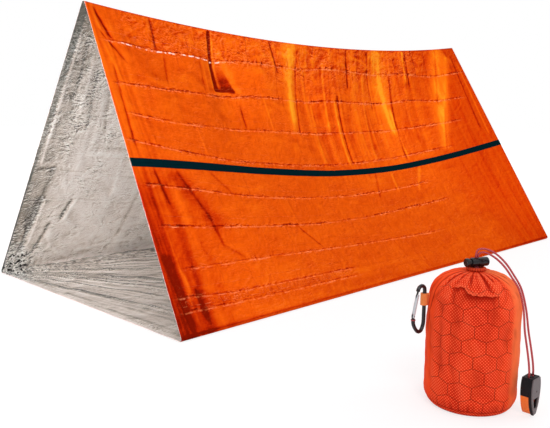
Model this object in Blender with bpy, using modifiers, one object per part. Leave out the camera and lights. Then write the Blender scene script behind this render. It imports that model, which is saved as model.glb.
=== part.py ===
"""Emergency tent: a pitched tube of metallised film, with its drawstring stuff sack beside it.

Run with: blender --background --python part.py
Units are metres, +Z is up. The tent's length runs along X with its open near end at -X, and its
front wall looks towards -Y. The origin is on the ground, under the middle of the tent's floor.
"""

import math

import bmesh
import bpy
from mathutils import Matrix, Vector

# Clearances
GAP = 0.0003
BORE_PLAY = 0.0003

# Tent: a film tube, 3.0 m round and 2.1 m long, pitched as a prism
TENT_LENGTH = 2.10
BASE_WIDTH = 1.00
RIDGE_HEIGHT = 0.867
NEAR_LEAN = 0.049
FAR_LEAN = 0.080
RIDGE_SAG = 0.058
FRONT_BOW = 0.135
BACK_BOW = 0.075
BOW_SKEW = 1.35
RIDGE_FOLD = 0.012
BASE_FOLD = 0.010
FILM = 0.0002
PANEL_SEAM = 0.0004
STRIPE_WIDTH = 0.026
STRIPE_AT = 0.51
STRIPE = 0.0004
LENGTH_CELLS = 27
FRONT_CELLS = (4, 4)
BACK_CELLS = (4, 3)

# Main folds of the walls: place along the ridge, depth, half width, and how far down they reach
HANGING_FOLDS = (
    (-0.56, -0.020, 0.070, 0.30),
    (-0.34, 0.010, 0.090, 0.26),
    (-0.08, -0.012, 0.080, 0.34),
    (0.10, 0.012, 0.090, 0.30),
    (0.38, -0.014, 0.080, 0.36),
    (0.56, 0.012, 0.080, 0.30),
    (0.78, -0.008, 0.090, 0.30),
)
TENSION_FOLD = 0.008
TENSION_REACH = 0.34

# Stuff sack: a round bag, drawn shut over the packed film
SACK_PLACE = (-0.845, -1.172)
SACK_TURN = math.radians(-45.0)
SACK_RADIUS = 0.091
SACK_HEIGHT = 0.268
SACK_WALL = 0.001
SHOULDER_START = 0.150
SHOULDER_FULLNESS = 4.6
MOUTH_RADIUS = 0.016
BASE_RADIUS = 0.078
BASE_ROUNDING = 0.030
BASE_PANEL = 0.0012
FILL_CLEAR = 0.0005
FILL_TOP = 0.252

# Drawcord: 4 mm cord, both ends through the lock and on to the whistle
CORD_RADIUS = 0.002
STRAND_OFFSET = 0.0022
CHANNEL_BORE = CORD_RADIUS + BORE_PLAY
CHANNEL_WALL = 0.0012
CHANNEL_RING = 0.0155
CHANNEL_ENDS = math.radians(40.0)
RING_START = math.radians(35.0)
RISER_BEND = 0.0045

# The free strands' own points between the lock and the whistle, in the sack's frame
STRAND_STEP = 0.0085
FRONT_STRAND = (
    (0.0060, -0.0016, 0.3035),
    (0.0160, -0.0075, 0.3045),
    (0.0310, -0.0180, 0.2965),
    (0.0450, -0.0295, 0.2825),
    (0.0570, -0.0395, 0.2640),
    (0.0692, -0.0490, 0.2425),
    (0.0775, -0.0556, 0.2070),
    (0.0815, -0.0590, 0.1650),
    (0.0865, -0.0645, 0.1300),
    (0.0892, -0.0700, 0.1050),
)
REAR_STRAND = (
    (0.0010, -0.0008, 0.3085),
    (0.0140, -0.0020, 0.3110),
    (0.0320, -0.0095, 0.3045),
    (0.0500, -0.0180, 0.2880),
    (0.0650, -0.0255, 0.2660),
    (0.0792, -0.0329, 0.2400),
    (0.0886, -0.0391, 0.2020),
    (0.0940, -0.0450, 0.1600),
    (0.0990, -0.0525, 0.1250),
    (0.1015, -0.0580, 0.1020),
)

# Cord lock: barrel, plunger and spring
LOCK_TURN = math.radians(20.0)
LOCK_RADIUS = 0.009
LOCK_LEFT = 0.0135
LOCK_RIGHT = 0.0250
LOCK_END_WALL = 0.0025
LOCK_ROUNDING = 0.002
PLUNGER_RADIUS = 0.006
PLUNGER_TRAVEL = 0.004
PLUNGER_END = 0.008
HEAD_RADIUS = 0.0086
HEAD_LENGTH = 0.0075
HEAD_ROUNDING = 0.0022
SPRING_WIRE = 0.0005
LOCK_SPRING_RADIUS = 0.0045
LOCK_SPRING_TURNS = 5

# Webbing tab, sewn in the sack's side seam, and the carabiner that hangs in it
TAB_WIDTH = 0.024
TAB_THICKNESS = 0.0013
TAB_CENTRE = 0.209
TAB_SLACK = 0.002
TAB_CLEAR = 0.0008
TAB_IN_SEAM = 0.004
TAB_PLIES_PART = 0.0042
TACK = 0.0006
TACK_LENGTH = 0.0030
TACK_OFF_SEAM = 0.0012
TACK_SHARE = 0.8
ROD_RADIUS = 0.00375
SPINE_OFF_WALL = 0.0095
SPINE_BOTTOM = 0.164
SPINE_ABOVE_TAB = 0.0030
CARABINER_TURN = math.radians(45.0)
TOP_REACH = 0.0245
TOP_RISE = 0.0095
ARM_REACH = 0.0365
ARM_TOP = 0.176
ARM_DROP = 0.018
ROD_STEP = 0.0045
ARM_STRAIGHT = 0.005
LOWER_BEND = 0.010
RING_WALL = 0.0006
RING_AT = (0.30, 0.75)
GATE_RADIUS = 0.0034
GATE_SLOT = 0.0030
GATE_BELOW_HINGE = 0.0030
GATE_END_CLEAR = 0.0002
HINGE_OFFSET = 0.0006
HINGE_RISE = 0.0050
NOSE_ABOVE_GATE = 0.0058
TONGUE = 0.0024
HINGE_TONGUE = (0.0052, 0.0085)
HINGE_TONGUE_DROP = 0.0014
NOSE_TONGUE = (0.0030, 0.0090)
NOSE_TONGUE_AT = 0.0012
LATCH_OFFSET = -0.0002
LATCH_DROP = 0.0022
LOW_SLOT = (0.02, 0.0105)
LOW_SLOT_DROP = 0.0003
TOP_SLOT = (0.0100, 0.0120)
TOP_SLOT_AT = 0.0034
PIN_RADIUS = 0.0010
GATE_SPRING_RADIUS = 0.0012
GATE_SPRING_WIRE = 0.0003
GATE_SPRING_TURNS = 6
GATE_SPRING_START = 0.0050
GATE_BORE_CLEAR = 0.0002
GATE_BORE = (0.0030, 0.0185)

# Whistle: grey face, black frame and housing, orange insert, hung on a loop of the cord
WHISTLE_PLACE = (0.0205, -0.1165)
WHISTLE_TIP = 0.002
WHISTLE_HEIGHT = 0.076
WHISTLE_HALF_WIDTH = 0.0190
WHISTLE_TOP_HALF = 0.0148
WHISTLE_WIDEST = 0.055
FACE_THICKNESS = 0.0022
FRAME_THICKNESS = 0.0045
WHISTLE_THICKNESS = 0.0235
HOUSING_HEIGHT = 0.036
WINDOW_LOW = 0.0155
WINDOW_HIGH = 0.0355
WINDOW_LOW_HALF = 0.0058
WINDOW_HIGH_HALF = 0.0105
EYELET_RADIUS = 0.0021
EYELET_PLACE = (0.0015, 0.0485)
CHAMBER_DEPTH = 0.006
CHAMBER_MARGIN = 0.0012
LOOP_HALF_SPAN = 0.0085
LOOP_DEPTH = 0.0078
LOOP_BEND = 0.0040
LOOP_AT = 0.0010
SWING_ROOM = 0.0017

ROUND = 32
PIN_STEPS = 16
CUT_OVERRUN = 0.01


def clear_scene():
    """Removes what a new file holds."""
    for old in list(bpy.data.objects):
        bpy.data.objects.remove(old, do_unlink=True)


clear_scene()
PARTS = bpy.data.collections.new("emergency_tent")
CUTTERS = bpy.data.collections.new("cutters")
bpy.context.scene.collection.children.link(PARTS)
bpy.context.scene.collection.children.link(CUTTERS)


def make_material(name, colour, roughness, metallic=0.0):
    """Returns a plain Principled material."""
    mat = bpy.data.materials.new(name)
    mat.use_nodes = True
    shader = mat.node_tree.nodes["Principled BSDF"]
    shader.inputs["Base Color"].default_value = (*colour, 1.0)
    shader.inputs["Roughness"].default_value = roughness
    shader.inputs["Metallic"].default_value = metallic
    mat.diffuse_color = (*colour, 1.0)
    return mat


def add_part(name, data, mat, parent=None, matrix=None):
    """Links a new object for one sub-part, with its own material."""
    obj = bpy.data.objects.new(name, data)
    PARTS.objects.link(obj)
    data.materials.clear()
    data.materials.append(mat)
    obj.parent = parent
    if matrix is not None:
        obj.matrix_local = matrix
    return obj


def add_cutter(name, data, parent=None, matrix=None):
    """Links a hidden object that only cuts others."""
    obj = bpy.data.objects.new(name, data)
    CUTTERS.objects.link(obj)
    obj.hide_render = True
    obj.display_type = "WIRE"
    obj.parent = parent
    if matrix is not None:
        obj.matrix_local = matrix
    return obj


def add_empty(name, parent=None, location=(0, 0, 0), turn=0.0):
    """Adds a frame that pieces hang from."""
    obj = bpy.data.objects.new(name, None)
    PARTS.objects.link(obj)
    obj.parent = parent
    obj.location = location
    obj.rotation_euler = (0, 0, turn)
    return obj


def boolean(obj, cutter, operation="DIFFERENCE"):
    """Adds an exact Boolean with one other object."""
    mod = obj.modifiers.new(cutter.name, "BOOLEAN")
    mod.operation = operation
    mod.object = cutter


def box_mesh(name, size, centre=(0, 0, 0), turn=None):
    """Returns a box with its size written into the mesh."""
    bm = bmesh.new()
    bmesh.ops.create_cube(bm, size=1.0)
    bmesh.ops.scale(bm, vec=Vector(size), verts=bm.verts)
    if turn is not None:
        bmesh.ops.transform(bm, matrix=turn, verts=bm.verts)
    bmesh.ops.translate(bm, vec=Vector(centre), verts=bm.verts)
    mesh = bpy.data.meshes.new(name)
    bm.to_mesh(mesh)
    bm.free()
    return mesh


def rod_mesh(name, radius, length, axis="Z", centre=(0, 0, 0), steps=ROUND):
    """Returns a closed cylinder along an axis."""
    bm = bmesh.new()
    bmesh.ops.create_cone(bm, cap_ends=True, segments=steps, radius1=radius, radius2=radius, depth=length)
    turns = {"X": Matrix.Rotation(math.pi / 2, 4, "Y"), "Y": Matrix.Rotation(math.pi / 2, 4, "X")}
    if axis in turns:
        bmesh.ops.transform(bm, matrix=turns[axis], verts=bm.verts)
    bmesh.ops.translate(bm, vec=Vector(centre), verts=bm.verts)
    mesh = bpy.data.meshes.new(name)
    bm.to_mesh(mesh)
    bm.free()
    smooth(mesh)
    return mesh


def smooth(mesh, angle=35.0):
    """Shades a round piece smooth, with its edges kept."""
    mesh.shade_smooth()
    mesh.set_sharp_from_angle(angle=math.radians(angle))


def poly_curve(name, points, radius, resolution=2, cyclic=False, caps=True):
    """Returns a round tube along points."""
    curve = bpy.data.curves.new(name, "CURVE")
    curve.dimensions = "3D"
    curve.bevel_depth = radius
    curve.bevel_resolution = resolution
    curve.use_fill_caps = caps
    spline = curve.splines.new("POLY")
    spline.points.add(len(points) - 1)
    for point, place in zip(spline.points, points):
        point.co = (*place, 1.0)
    spline.use_cyclic_u = cyclic
    return curve


def outline_curve(name, outline, half_thickness, holes=()):
    """Returns a flat plate with the outline, and holes through it."""
    curve = bpy.data.curves.new(name, "CURVE")
    curve.dimensions = "2D"
    curve.fill_mode = "BOTH"
    curve.extrude = half_thickness
    for loop in (outline, *holes):
        spline = curve.splines.new("POLY")
        spline.points.add(len(loop) - 1)
        for point, place in zip(spline.points, loop):
            point.co = (place[0], place[1], 0.0, 1.0)
        spline.use_cyclic_u = True
    return curve


def solid_from_curve(name, curve, matrix=None):
    """Turns a curve into a closed mesh, with its caps welded on."""
    holder = bpy.data.objects.new(name + "_curve", curve)
    bpy.context.scene.collection.objects.link(holder)
    if matrix is not None:
        holder.matrix_world = matrix
    bpy.context.view_layer.update()
    seen = holder.evaluated_get(bpy.context.evaluated_depsgraph_get())
    mesh = bpy.data.meshes.new_from_object(seen)
    mesh.name = name
    mesh.transform(holder.matrix_world)
    bpy.data.objects.remove(holder, do_unlink=True)
    bm = bmesh.new()
    bm.from_mesh(mesh)
    bmesh.ops.remove_doubles(bm, verts=bm.verts, dist=0.00001)
    bmesh.ops.recalc_face_normals(bm, faces=bm.faces)
    bm.to_mesh(mesh)
    bm.free()
    mesh.materials.clear()
    smooth(mesh)
    return mesh


def turned_part(name, profile, mat, parent, steps=ROUND, wall=None, matrix=None):
    """Turns a profile about Z. A profile of a solid starts and ends on the axis."""
    mesh = bpy.data.meshes.new(name)
    bm = bmesh.new()
    verts = [bm.verts.new((r, 0.0, z)) for r, z in profile]
    for a, b in zip(verts, verts[1:]):
        bm.edges.new((a, b))
    bm.to_mesh(mesh)
    bm.free()
    obj = add_part(name, mesh, mat, parent, matrix)
    screw = obj.modifiers.new("turn", "SCREW")
    screw.axis = "Z"
    screw.steps = steps
    screw.render_steps = steps
    screw.use_merge_vertices = True
    screw.merge_threshold = 0.00001
    screw.use_smooth_shade = True
    if wall:
        shell = obj.modifiers.new("wall", "SOLIDIFY")
        shell.thickness = wall
        shell.offset = -1.0
        shell.use_even_offset = True
    return obj


def smooth_route(points, spacing):
    """Reads evenly spaced points from a smooth curve through a route's points."""
    route = [Vector(p) for p in points]
    ends = [route[0] * 2 - route[1]] + route + [route[-1] * 2 - route[-2]]
    fine = []
    parts = 24
    for i in range(1, len(ends) - 2):
        p0, p1, p2, p3 = ends[i - 1], ends[i], ends[i + 1], ends[i + 2]
        for k in range(parts):
            t = k / parts
            fine.append(
                0.5
                * (
                    2 * p1
                    + (p2 - p0) * t
                    + (2 * p0 - 5 * p1 + 4 * p2 - p3) * t * t
                    + (3 * p1 - p0 - 3 * p2 + p3) * t ** 3
                )
            )
    fine.append(route[-1])
    lengths = [0.0]
    for a, b in zip(fine, fine[1:]):
        lengths.append(lengths[-1] + (b - a).length)
    count = max(2, round(lengths[-1] / spacing))
    out, j = [], 0
    for i in range(count + 1):
        want = lengths[-1] * i / count
        while j < len(lengths) - 2 and lengths[j + 1] < want:
            j += 1
        span = lengths[j + 1] - lengths[j]
        out.append(fine[j].lerp(fine[j + 1], (want - lengths[j]) / span if span else 0.0))
    return out


# Tent


def ridge_height(u):
    """Height of the ridge, which hangs in a shallow curve between its ends."""
    return RIDGE_HEIGHT - RIDGE_SAG * (1 - (2 * u - 1) ** 2)


def inward_bow(u, depth):
    """How far a wall hangs inwards, half way down, at a place along the tent."""
    return depth * math.sin(math.pi * u ** BOW_SKEW)


def fold_depth(u, t):
    """Outward depth of the main folds at a place along the tent and down its wall."""
    x = (u - 0.5) * TENT_LENGTH
    depth = 0.0
    for place, high, half, reach in HANGING_FOLDS:
        depth += high * math.exp(-((x - place) / half) ** 2) * math.exp(-((t / reach) ** 2))
    from_apex = Vector(((u * TENT_LENGTH) / TENSION_REACH, t / TENSION_REACH))
    fan = math.atan2(from_apex.y, from_apex.x + 1e-6)
    depth += TENSION_FOLD * math.cos(6 * fan) * math.exp(-from_apex.length_squared) * min(1.0, u * 12)
    edge = min(1.0, u * 10, (1 - u) * 10)
    return depth * edge * min(1.0, t * 8)


def wall_point(u, t, side, depth):
    """A point of a wall: u along the tent, t down from the ridge, side -1 front or 1 back."""
    top = Vector((0.0, side * RIDGE_FOLD / 2, ridge_height(u)))
    foot = Vector((0.0, side * BASE_WIDTH / 2, BASE_FOLD))
    chord = foot - top
    inward = Vector((0.0, side * chord.z, -side * chord.y)).normalized()
    place = top + chord * t
    place += inward * (inward_bow(u, depth) * 4 * t * (1 - t) - fold_depth(u, t))
    place.x = along(u, place.z)
    return place


def along(u, height):
    """X of a column of the film, whose ends lean in towards the ridge."""
    share = height / RIDGE_HEIGHT
    near = -TENT_LENGTH / 2 + NEAR_LEAN * share
    far = TENT_LENGTH / 2 - FAR_LEAN * share
    return near + (far - near) * u


def floor_point(u, v):
    """A point of the floor film, v from the front edge to the back edge."""
    half = BASE_WIDTH / 2 - BASE_FOLD
    return Vector((along(u, 0.0), half * (2 * v - 1), GAP / 2 + FILM))


def wall_rows(cells):
    """Places of the rows down a wall, with a row on each edge of the stripe."""
    half = STRIPE_WIDTH / (2 * BASE_WIDTH)
    above, below = cells
    upper = [(STRIPE_AT - half) * k / above for k in range(above + 1)]
    lower = [STRIPE_AT + half + (1 - STRIPE_AT - half) * k / below for k in range(below + 1)]
    return upper + lower


def section_points(u):
    """The film's section at u, from the back of the ridge fold, round the tent to the same place."""
    front = [wall_point(u, t, -1, FRONT_BOW) for t in wall_rows(FRONT_CELLS)]
    floor = [floor_point(u, v) for v in (0.0, 0.5, 1.0)]
    back = [wall_point(u, t, 1, BACK_BOW) for t in reversed(wall_rows(BACK_CELLS))]
    return [back[-1]] + front + floor + back


def panel_rows(section, first, last):
    """The rows of one panel, drawn back a little from the folds at its two edges."""
    rows = [p.copy() for p in section[first : last + 1]]
    rows[0] = rows[0] + (rows[1] - rows[0]).normalized() * PANEL_SEAM
    rows[-1] = rows[-1] + (rows[-2] - rows[-1]).normalized() * PANEL_SEAM
    return rows


def wrapped_grid(name, placed, across, rows):
    """A grid whose corners go to their places, welded where its edges meet."""
    bm = bmesh.new()
    bmesh.ops.create_grid(bm, x_segments=across, y_segments=rows, size=0.5)
    for vert in bm.verts:
        i = round((vert.co.x + 0.5) * across)
        j = round((vert.co.y + 0.5) * rows)
        vert.co = placed[i][j]
    bmesh.ops.remove_doubles(bm, verts=bm.verts, dist=0.00001)
    bmesh.ops.triangulate(bm, faces=bm.faces, quad_method="FIXED")
    bmesh.ops.reverse_faces(bm, faces=bm.faces)
    mesh = bpy.data.meshes.new(name)
    bm.to_mesh(mesh)
    bm.free()
    mesh.shade_smooth()
    return mesh


def film_layer(obj, inner, thickness):
    """Gives a film its thickness, from a distance outside its middle surface."""
    shell = obj.modifiers.new("film", "SOLIDIFY")
    shell.thickness = thickness
    shell.offset = 1 + 2 * inner / thickness
    shell.use_even_offset = True


def build_tent():
    """The tube's outer panels, its silver lining and its two stripes."""
    sections = [section_points(i / LENGTH_CELLS) for i in range(LENGTH_CELLS + 1)]
    rows = len(sections[0]) - 1
    front_foot = 1 + sum(FRONT_CELLS) + 1
    back_foot = rows - sum(BACK_CELLS) - 1
    orange = (0.80, 0.10, 0.008)
    panels = (
        ("front_wall", 0, front_foot),
        ("groundsheet", front_foot, back_foot),
        ("back_wall", back_foot, rows),
    )
    for name, first, last in panels:
        placed = [panel_rows(section, first, last) for section in sections]
        mesh = wrapped_grid(name, placed, LENGTH_CELLS, last - first)
        panel = add_part(name, mesh, make_material(name + "_film", orange, 0.32))
        film_layer(panel, GAP / 2, FILM)
    silver = make_material("silver_lining_film", (0.62, 0.60, 0.57), 0.28, 0.85)
    lining = add_part("silver_lining", wrapped_grid("silver_lining", sections, LENGTH_CELLS, rows), silver)
    film_layer(lining, -GAP / 2 - FILM, FILM)

    stripes = (("front_stripe", 1 + FRONT_CELLS[0]), ("back_stripe", back_foot + BACK_CELLS[1]))
    for name, first in stripes:
        placed = [section[first : first + 2] for section in sections]
        black = make_material(name + "_tape", (0.010, 0.020, 0.022), 0.45)
        stripe = add_part(name, wrapped_grid(name, placed, LENGTH_CELLS, 1), black)
        film_layer(stripe, GAP * 1.5 + FILM, STRIPE)


# Stuff sack


def sack_radius(z):
    """Outside radius of the sack at a height."""
    if z < BASE_ROUNDING:
        return SACK_RADIUS - (SACK_RADIUS - BASE_RADIUS) * (1 - z / BASE_ROUNDING) ** 2.2
    if z > SHOULDER_START:
        share = min(1.0, (z - SHOULDER_START) / (SACK_HEIGHT - SHOULDER_START))
        return MOUTH_RADIUS + (SACK_RADIUS - MOUTH_RADIUS) * math.sqrt(1 - share ** SHOULDER_FULLNESS)
    return SACK_RADIUS


def sack_profile():
    """The sack's outer side, from its rim down to the ground."""
    rise = SACK_HEIGHT - SHOULDER_START
    shares = (1.0, 0.998, 0.99, 0.97, 0.94, 0.90, 0.84, 0.76, 0.66, 0.52, 0.36, 0.18)
    heights = [SHOULDER_START + rise * s for s in shares]
    heights += [SHOULDER_START, (SHOULDER_START + BASE_ROUNDING) / 2]
    heights += [BASE_ROUNDING * s for s in (1.0, 0.72, 0.48, 0.28, 0.12, 0.0)]
    return [(sack_radius(z), z) for z in heights]


def moved_profile(profile, distance):
    """A profile moved outwards by a distance, square to its own line."""
    out = []
    for k, (r, z) in enumerate(profile):
        r0, z0 = profile[max(0, k - 1)]
        r1, z1 = profile[min(len(profile) - 1, k + 1)]
        run = math.hypot(r1 - r0, z1 - z0)
        out.append((r + distance * (z0 - z1) / run, z + distance * (r1 - r0) / run))
    return out


def closed_profile(profile, top, bottom):
    """The stretch of a profile between two heights, closed to the axis at both."""
    kept = [(r, z) for r, z in profile if bottom < z < top and r > 0]
    return [(0.0, kept[0][1])] + kept + [(0.0, kept[-1][1])]


def build_sack(frame):
    """The bag's wall, base panel and packed contents."""
    ripstop = make_material("sack_ripstop", (0.86, 0.115, 0.035), 0.55)
    base_cloth = make_material("sack_base_cloth", (0.80, 0.10, 0.03), 0.6)
    packed = make_material("packed_film_bundle", (0.80, 0.10, 0.008), 0.4)
    turned_part("sack_body", sack_profile(), ripstop, frame, wall=SACK_WALL)
    base_edge = BASE_RADIUS - SACK_WALL - GAP
    turned_part(
        "sack_base",
        [(0.0, BASE_PANEL), (base_edge, BASE_PANEL), (base_edge, 0.0), (0.0, 0.0)],
        base_cloth,
        frame,
    )
    inside = moved_profile(sack_profile(), -SACK_WALL - FILL_CLEAR)
    turned_part("packed_film", closed_profile(inside, FILL_TOP, BASE_PANEL + GAP), packed, frame)


def channel_height():
    """Height of the drawcord's ring, on the sack's rim."""
    return SACK_HEIGHT + GAP + CHANNEL_BORE + CHANNEL_WALL


def lock_height():
    """Height of the cord lock's axis, on top of the channel."""
    return channel_height() + CHANNEL_BORE + CHANNEL_WALL + GAP + LOCK_RADIUS


def build_channel(frame):
    """The hem round the mouth that holds the drawcord."""
    hem = make_material("channel_hem_cloth", (0.84, 0.11, 0.035), 0.6)
    steps = 28
    start = -math.pi / 2 + CHANNEL_ENDS
    sweep = 2 * math.pi - 2 * CHANNEL_ENDS
    z = channel_height()
    turns = [start + sweep * k / steps for k in range(steps + 1)]
    arc = [(CHANNEL_RING * math.cos(a), CHANNEL_RING * math.sin(a), z) for a in turns]
    tube = poly_curve("drawcord_channel", arc, CHANNEL_BORE + CHANNEL_WALL, resolution=4, caps=False)
    obj = add_part("drawcord_channel", tube, hem, frame)
    wall = obj.modifiers.new("wall", "SOLIDIFY")
    wall.thickness = CHANNEL_WALL
    wall.offset = -1.0


def held_cord_points():
    """The drawcord inside the lock and channel: down, round the mouth and up again."""
    low = channel_height()
    top = lock_height() + LOCK_RADIUS - GAP
    turn = (CHANNEL_RING * math.sin(RING_START) - STRAND_OFFSET) / (1 + math.sin(RING_START))
    front = (CHANNEL_RING - turn) * math.cos(RING_START)
    half = [Vector((-STRAND_OFFSET, 0.0, z)) for z in (top, (top * 2 + low) / 3, low + RISER_BEND * 1.4)]
    bends = 5
    for k in range(bends + 1):
        a = math.pi / 2 * k / bends
        rise = RISER_BEND * (1 - math.sin(a))
        half.append(Vector((-STRAND_OFFSET, -RISER_BEND * (1 - math.cos(a)), low + rise)))
    swing = math.pi / 2 + RING_START
    bends = 8
    for k in range(bends + 1):
        a = swing * k / bends
        x = -STRAND_OFFSET - turn + turn * math.cos(a)
        half.append(Vector((x, -front - turn * math.sin(a), low)))
    ring_start = math.atan2(half[-1].y, half[-1].x)
    sweep = (2 * ring_start + math.pi) % (2 * math.pi)
    steps = 24
    ring = []
    for k in range(1, steps):
        a = ring_start - sweep * k / steps
        ring.append(Vector((CHANNEL_RING * math.cos(a), CHANNEL_RING * math.sin(a), low)))
    return half + ring + [Vector((-p.x, p.y, p.z)) for p in reversed(half)]


def build_held_cord(frame):
    """One cord through the lock, round the channel and back."""
    cord = make_material("drawcord_held_cord", (0.62, 0.10, 0.10), 0.7)
    add_part("drawcord_held", poly_curve("drawcord_held", held_cord_points(), CORD_RADIUS), cord, frame)


def build_lock(frame):
    """Barrel, plunger and spring of the cord lock, along the sack's own X."""
    black = make_material("lock_barrel_plastic", (0.012, 0.012, 0.014), 0.3)
    plunger_black = make_material("lock_plunger_plastic", (0.014, 0.014, 0.016), 0.32)
    steel = make_material("lock_spring_steel", (0.55, 0.55, 0.56), 0.3, 1.0)
    z = lock_height()
    middle = (LOCK_RIGHT - LOCK_LEFT) / 2
    barrel = add_part(
        "cord_lock_barrel",
        rod_mesh("cord_lock_barrel", LOCK_RADIUS, LOCK_LEFT + LOCK_RIGHT, "X", (middle, 0, z)),
        black,
        frame,
    )
    rounded = barrel.modifiers.new("edges", "BEVEL")
    rounded.width = LOCK_ROUNDING
    rounded.segments = 3
    rounded.limit_method = "ANGLE"
    bore_end = LOCK_RIGHT - LOCK_END_WALL
    bore = add_cutter(
        "lock_bore_cut",
        rod_mesh(
            "lock_bore_cut",
            PLUNGER_RADIUS + BORE_PLAY,
            LOCK_LEFT + bore_end + CUT_OVERRUN,
            "X",
            ((bore_end - LOCK_LEFT - CUT_OVERRUN) / 2, 0, z),
        ),
        frame,
    )
    boolean(barrel, bore)
    strands = STRAND_OFFSET + CORD_RADIUS
    through = 2 * (LOCK_RADIUS + CUT_OVERRUN)
    cord_room = CORD_RADIUS + GAP
    hole = slot_mesh("lock_cord_cut", -strands, strands, cord_room, z, through)
    boolean(barrel, add_cutter("lock_cord_cut", hole, frame))

    head_end = -LOCK_LEFT - PLUNGER_TRAVEL - GAP
    stem = rod_mesh(
        "cord_lock_plunger", PLUNGER_RADIUS, PLUNGER_END - head_end, "X", ((PLUNGER_END + head_end) / 2, 0, z)
    )
    plunger = add_part("cord_lock_plunger", stem, plunger_black, frame)
    cap = add_cutter(
        "lock_head_join",
        rod_mesh("lock_head_join", HEAD_RADIUS, HEAD_LENGTH, "X", (head_end - HEAD_LENGTH / 2, 0, z)),
        frame,
    )
    cap_edges = cap.modifiers.new("edges", "BEVEL")
    cap_edges.width = HEAD_ROUNDING
    cap_edges.segments = 3
    cap_edges.limit_method = "ANGLE"
    boolean(plunger, cap, "UNION")
    slot = add_cutter(
        "plunger_cord_cut",
        slot_mesh("plunger_cord_cut", -strands - PLUNGER_TRAVEL, strands, cord_room, z, through),
        frame,
    )
    boolean(plunger, slot)

    first = PLUNGER_END + GAP + SPRING_WIRE
    last = bore_end - GAP - SPRING_WIRE
    coil = helix(LOCK_SPRING_RADIUS, first, last, LOCK_SPRING_TURNS, 10)
    points = [Vector((a, y, z + w)) for y, w, a in coil]
    wire = poly_curve("cord_lock_spring", points, SPRING_WIRE, resolution=1)
    add_part("cord_lock_spring", wire, steel, frame)


def slot_mesh(name, low, high, half_width, z, height):
    """A vertical slot cutter with round ends, between two strands' outer sides."""
    steps = 8
    a, b = high - half_width + GAP, low + half_width - GAP
    turns = [math.pi * (k / steps - 0.5) for k in range(steps + 1)]
    right = [(a + half_width * math.cos(t), half_width * math.sin(t)) for t in turns]
    left = [(b - half_width * math.cos(t), -half_width * math.sin(t)) for t in turns]
    plate = outline_curve(name, right + left, height / 2)
    return solid_from_curve(name, plate, Matrix.Translation((0, 0, z)))


def helix(radius, start, end, turns, steps):
    """Points of a coil along its own axis."""
    count = turns * steps
    out = []
    for k in range(count + 1):
        a = 2 * math.pi * k / steps
        out.append((radius * math.cos(a), radius * math.sin(a), start + (end - start) * k / count))
    return out


# Webbing tab and carabiner


def spine_distance():
    """How far the carabiner's spine stands from the sack's axis."""
    return sack_radius(TAB_CENTRE) + SPINE_OFF_WALL


def tab_outline(clear, thickness):
    """The tab from above: two plies from the seam that part round the carabiner's spine."""
    spine = -spine_distance()
    seam = -sack_radius(TAB_CENTRE) + TAB_IN_SEAM
    outer = ROD_RADIUS + clear + thickness
    inner = ROD_RADIUS + clear
    steps = 12
    fold = spine - TAB_SLACK
    outside = [(seam, -thickness - GAP / 2), (spine, -outer)]
    outside += [
        (fold + outer * math.cos(a), outer * math.sin(a))
        for a in (-math.pi / 2 - math.pi * k / steps for k in range(steps + 1))
    ]
    outside += [(spine, outer), (seam, thickness + GAP / 2)]
    join = spine + inner + TAB_PLIES_PART
    inside = [(join, 0.0), (spine, -inner)]
    inside += [
        (fold + inner * math.cos(a), inner * math.sin(a))
        for a in (-math.pi / 2 - math.pi * k / steps for k in range(steps + 1))
    ]
    inside += [(spine, inner)]
    return outside, inside


def build_tab(frame):
    """The webbing tab and its bar tack."""
    webbing = make_material("tab_webbing", (0.90, 0.24, 0.06), 0.7)
    thread = make_material("tab_stitching", (0.75, 0.14, 0.04), 0.7)
    outside, inside = tab_outline(TAB_CLEAR, TAB_THICKNESS)
    plate = outline_curve("webbing_tab", outside, TAB_WIDTH / 2, [inside])
    mesh = solid_from_curve("webbing_tab", plate, Matrix.Translation((0, 0, TAB_CENTRE)))
    tab = add_part("webbing_tab", mesh, webbing, frame)
    wall_cut = add_cutter("sack_outside_cut", bpy.data.meshes.new("sack_outside_cut"), frame)
    fill_turned(wall_cut, closed_profile(moved_profile(sack_profile(), GAP), FILL_TOP, BASE_ROUNDING))
    boolean(tab, wall_cut)

    seam = -sack_radius(TAB_CENTRE)
    off_seam = TACK_LENGTH / 2 + TACK_OFF_SEAM
    half = TAB_THICKNESS + GAP / 2
    slope = (ROD_RADIUS + TAB_CLEAR + TAB_THICKNESS - half) / (SPINE_OFF_WALL + TAB_IN_SEAM)
    off_ply = half + slope * (TAB_IN_SEAM + off_seam) + TACK / 2 + GAP
    for name, side in (("bar_tack_front", -1), ("bar_tack_back", 1)):
        turn = Matrix.Rotation(-side * math.atan(slope), 4, "Z")
        size = (TACK_LENGTH, TACK, TAB_WIDTH * TACK_SHARE)
        mesh = box_mesh(name, size, (seam - off_seam, side * off_ply, TAB_CENTRE), turn)
        add_part(name, mesh, thread, frame)


def fill_turned(obj, profile, steps=ROUND):
    """Gives a cutter a turned solid."""
    bm = bmesh.new()
    verts = [bm.verts.new((r, 0.0, z)) for r, z in profile]
    for a, b in zip(verts, verts[1:]):
        bm.edges.new((a, b))
    bm.to_mesh(obj.data)
    bm.free()
    screw = obj.modifiers.new("turn", "SCREW")
    screw.axis = "Z"
    screw.steps = steps
    screw.render_steps = steps
    screw.use_merge_vertices = True
    screw.merge_threshold = 0.00001


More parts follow.
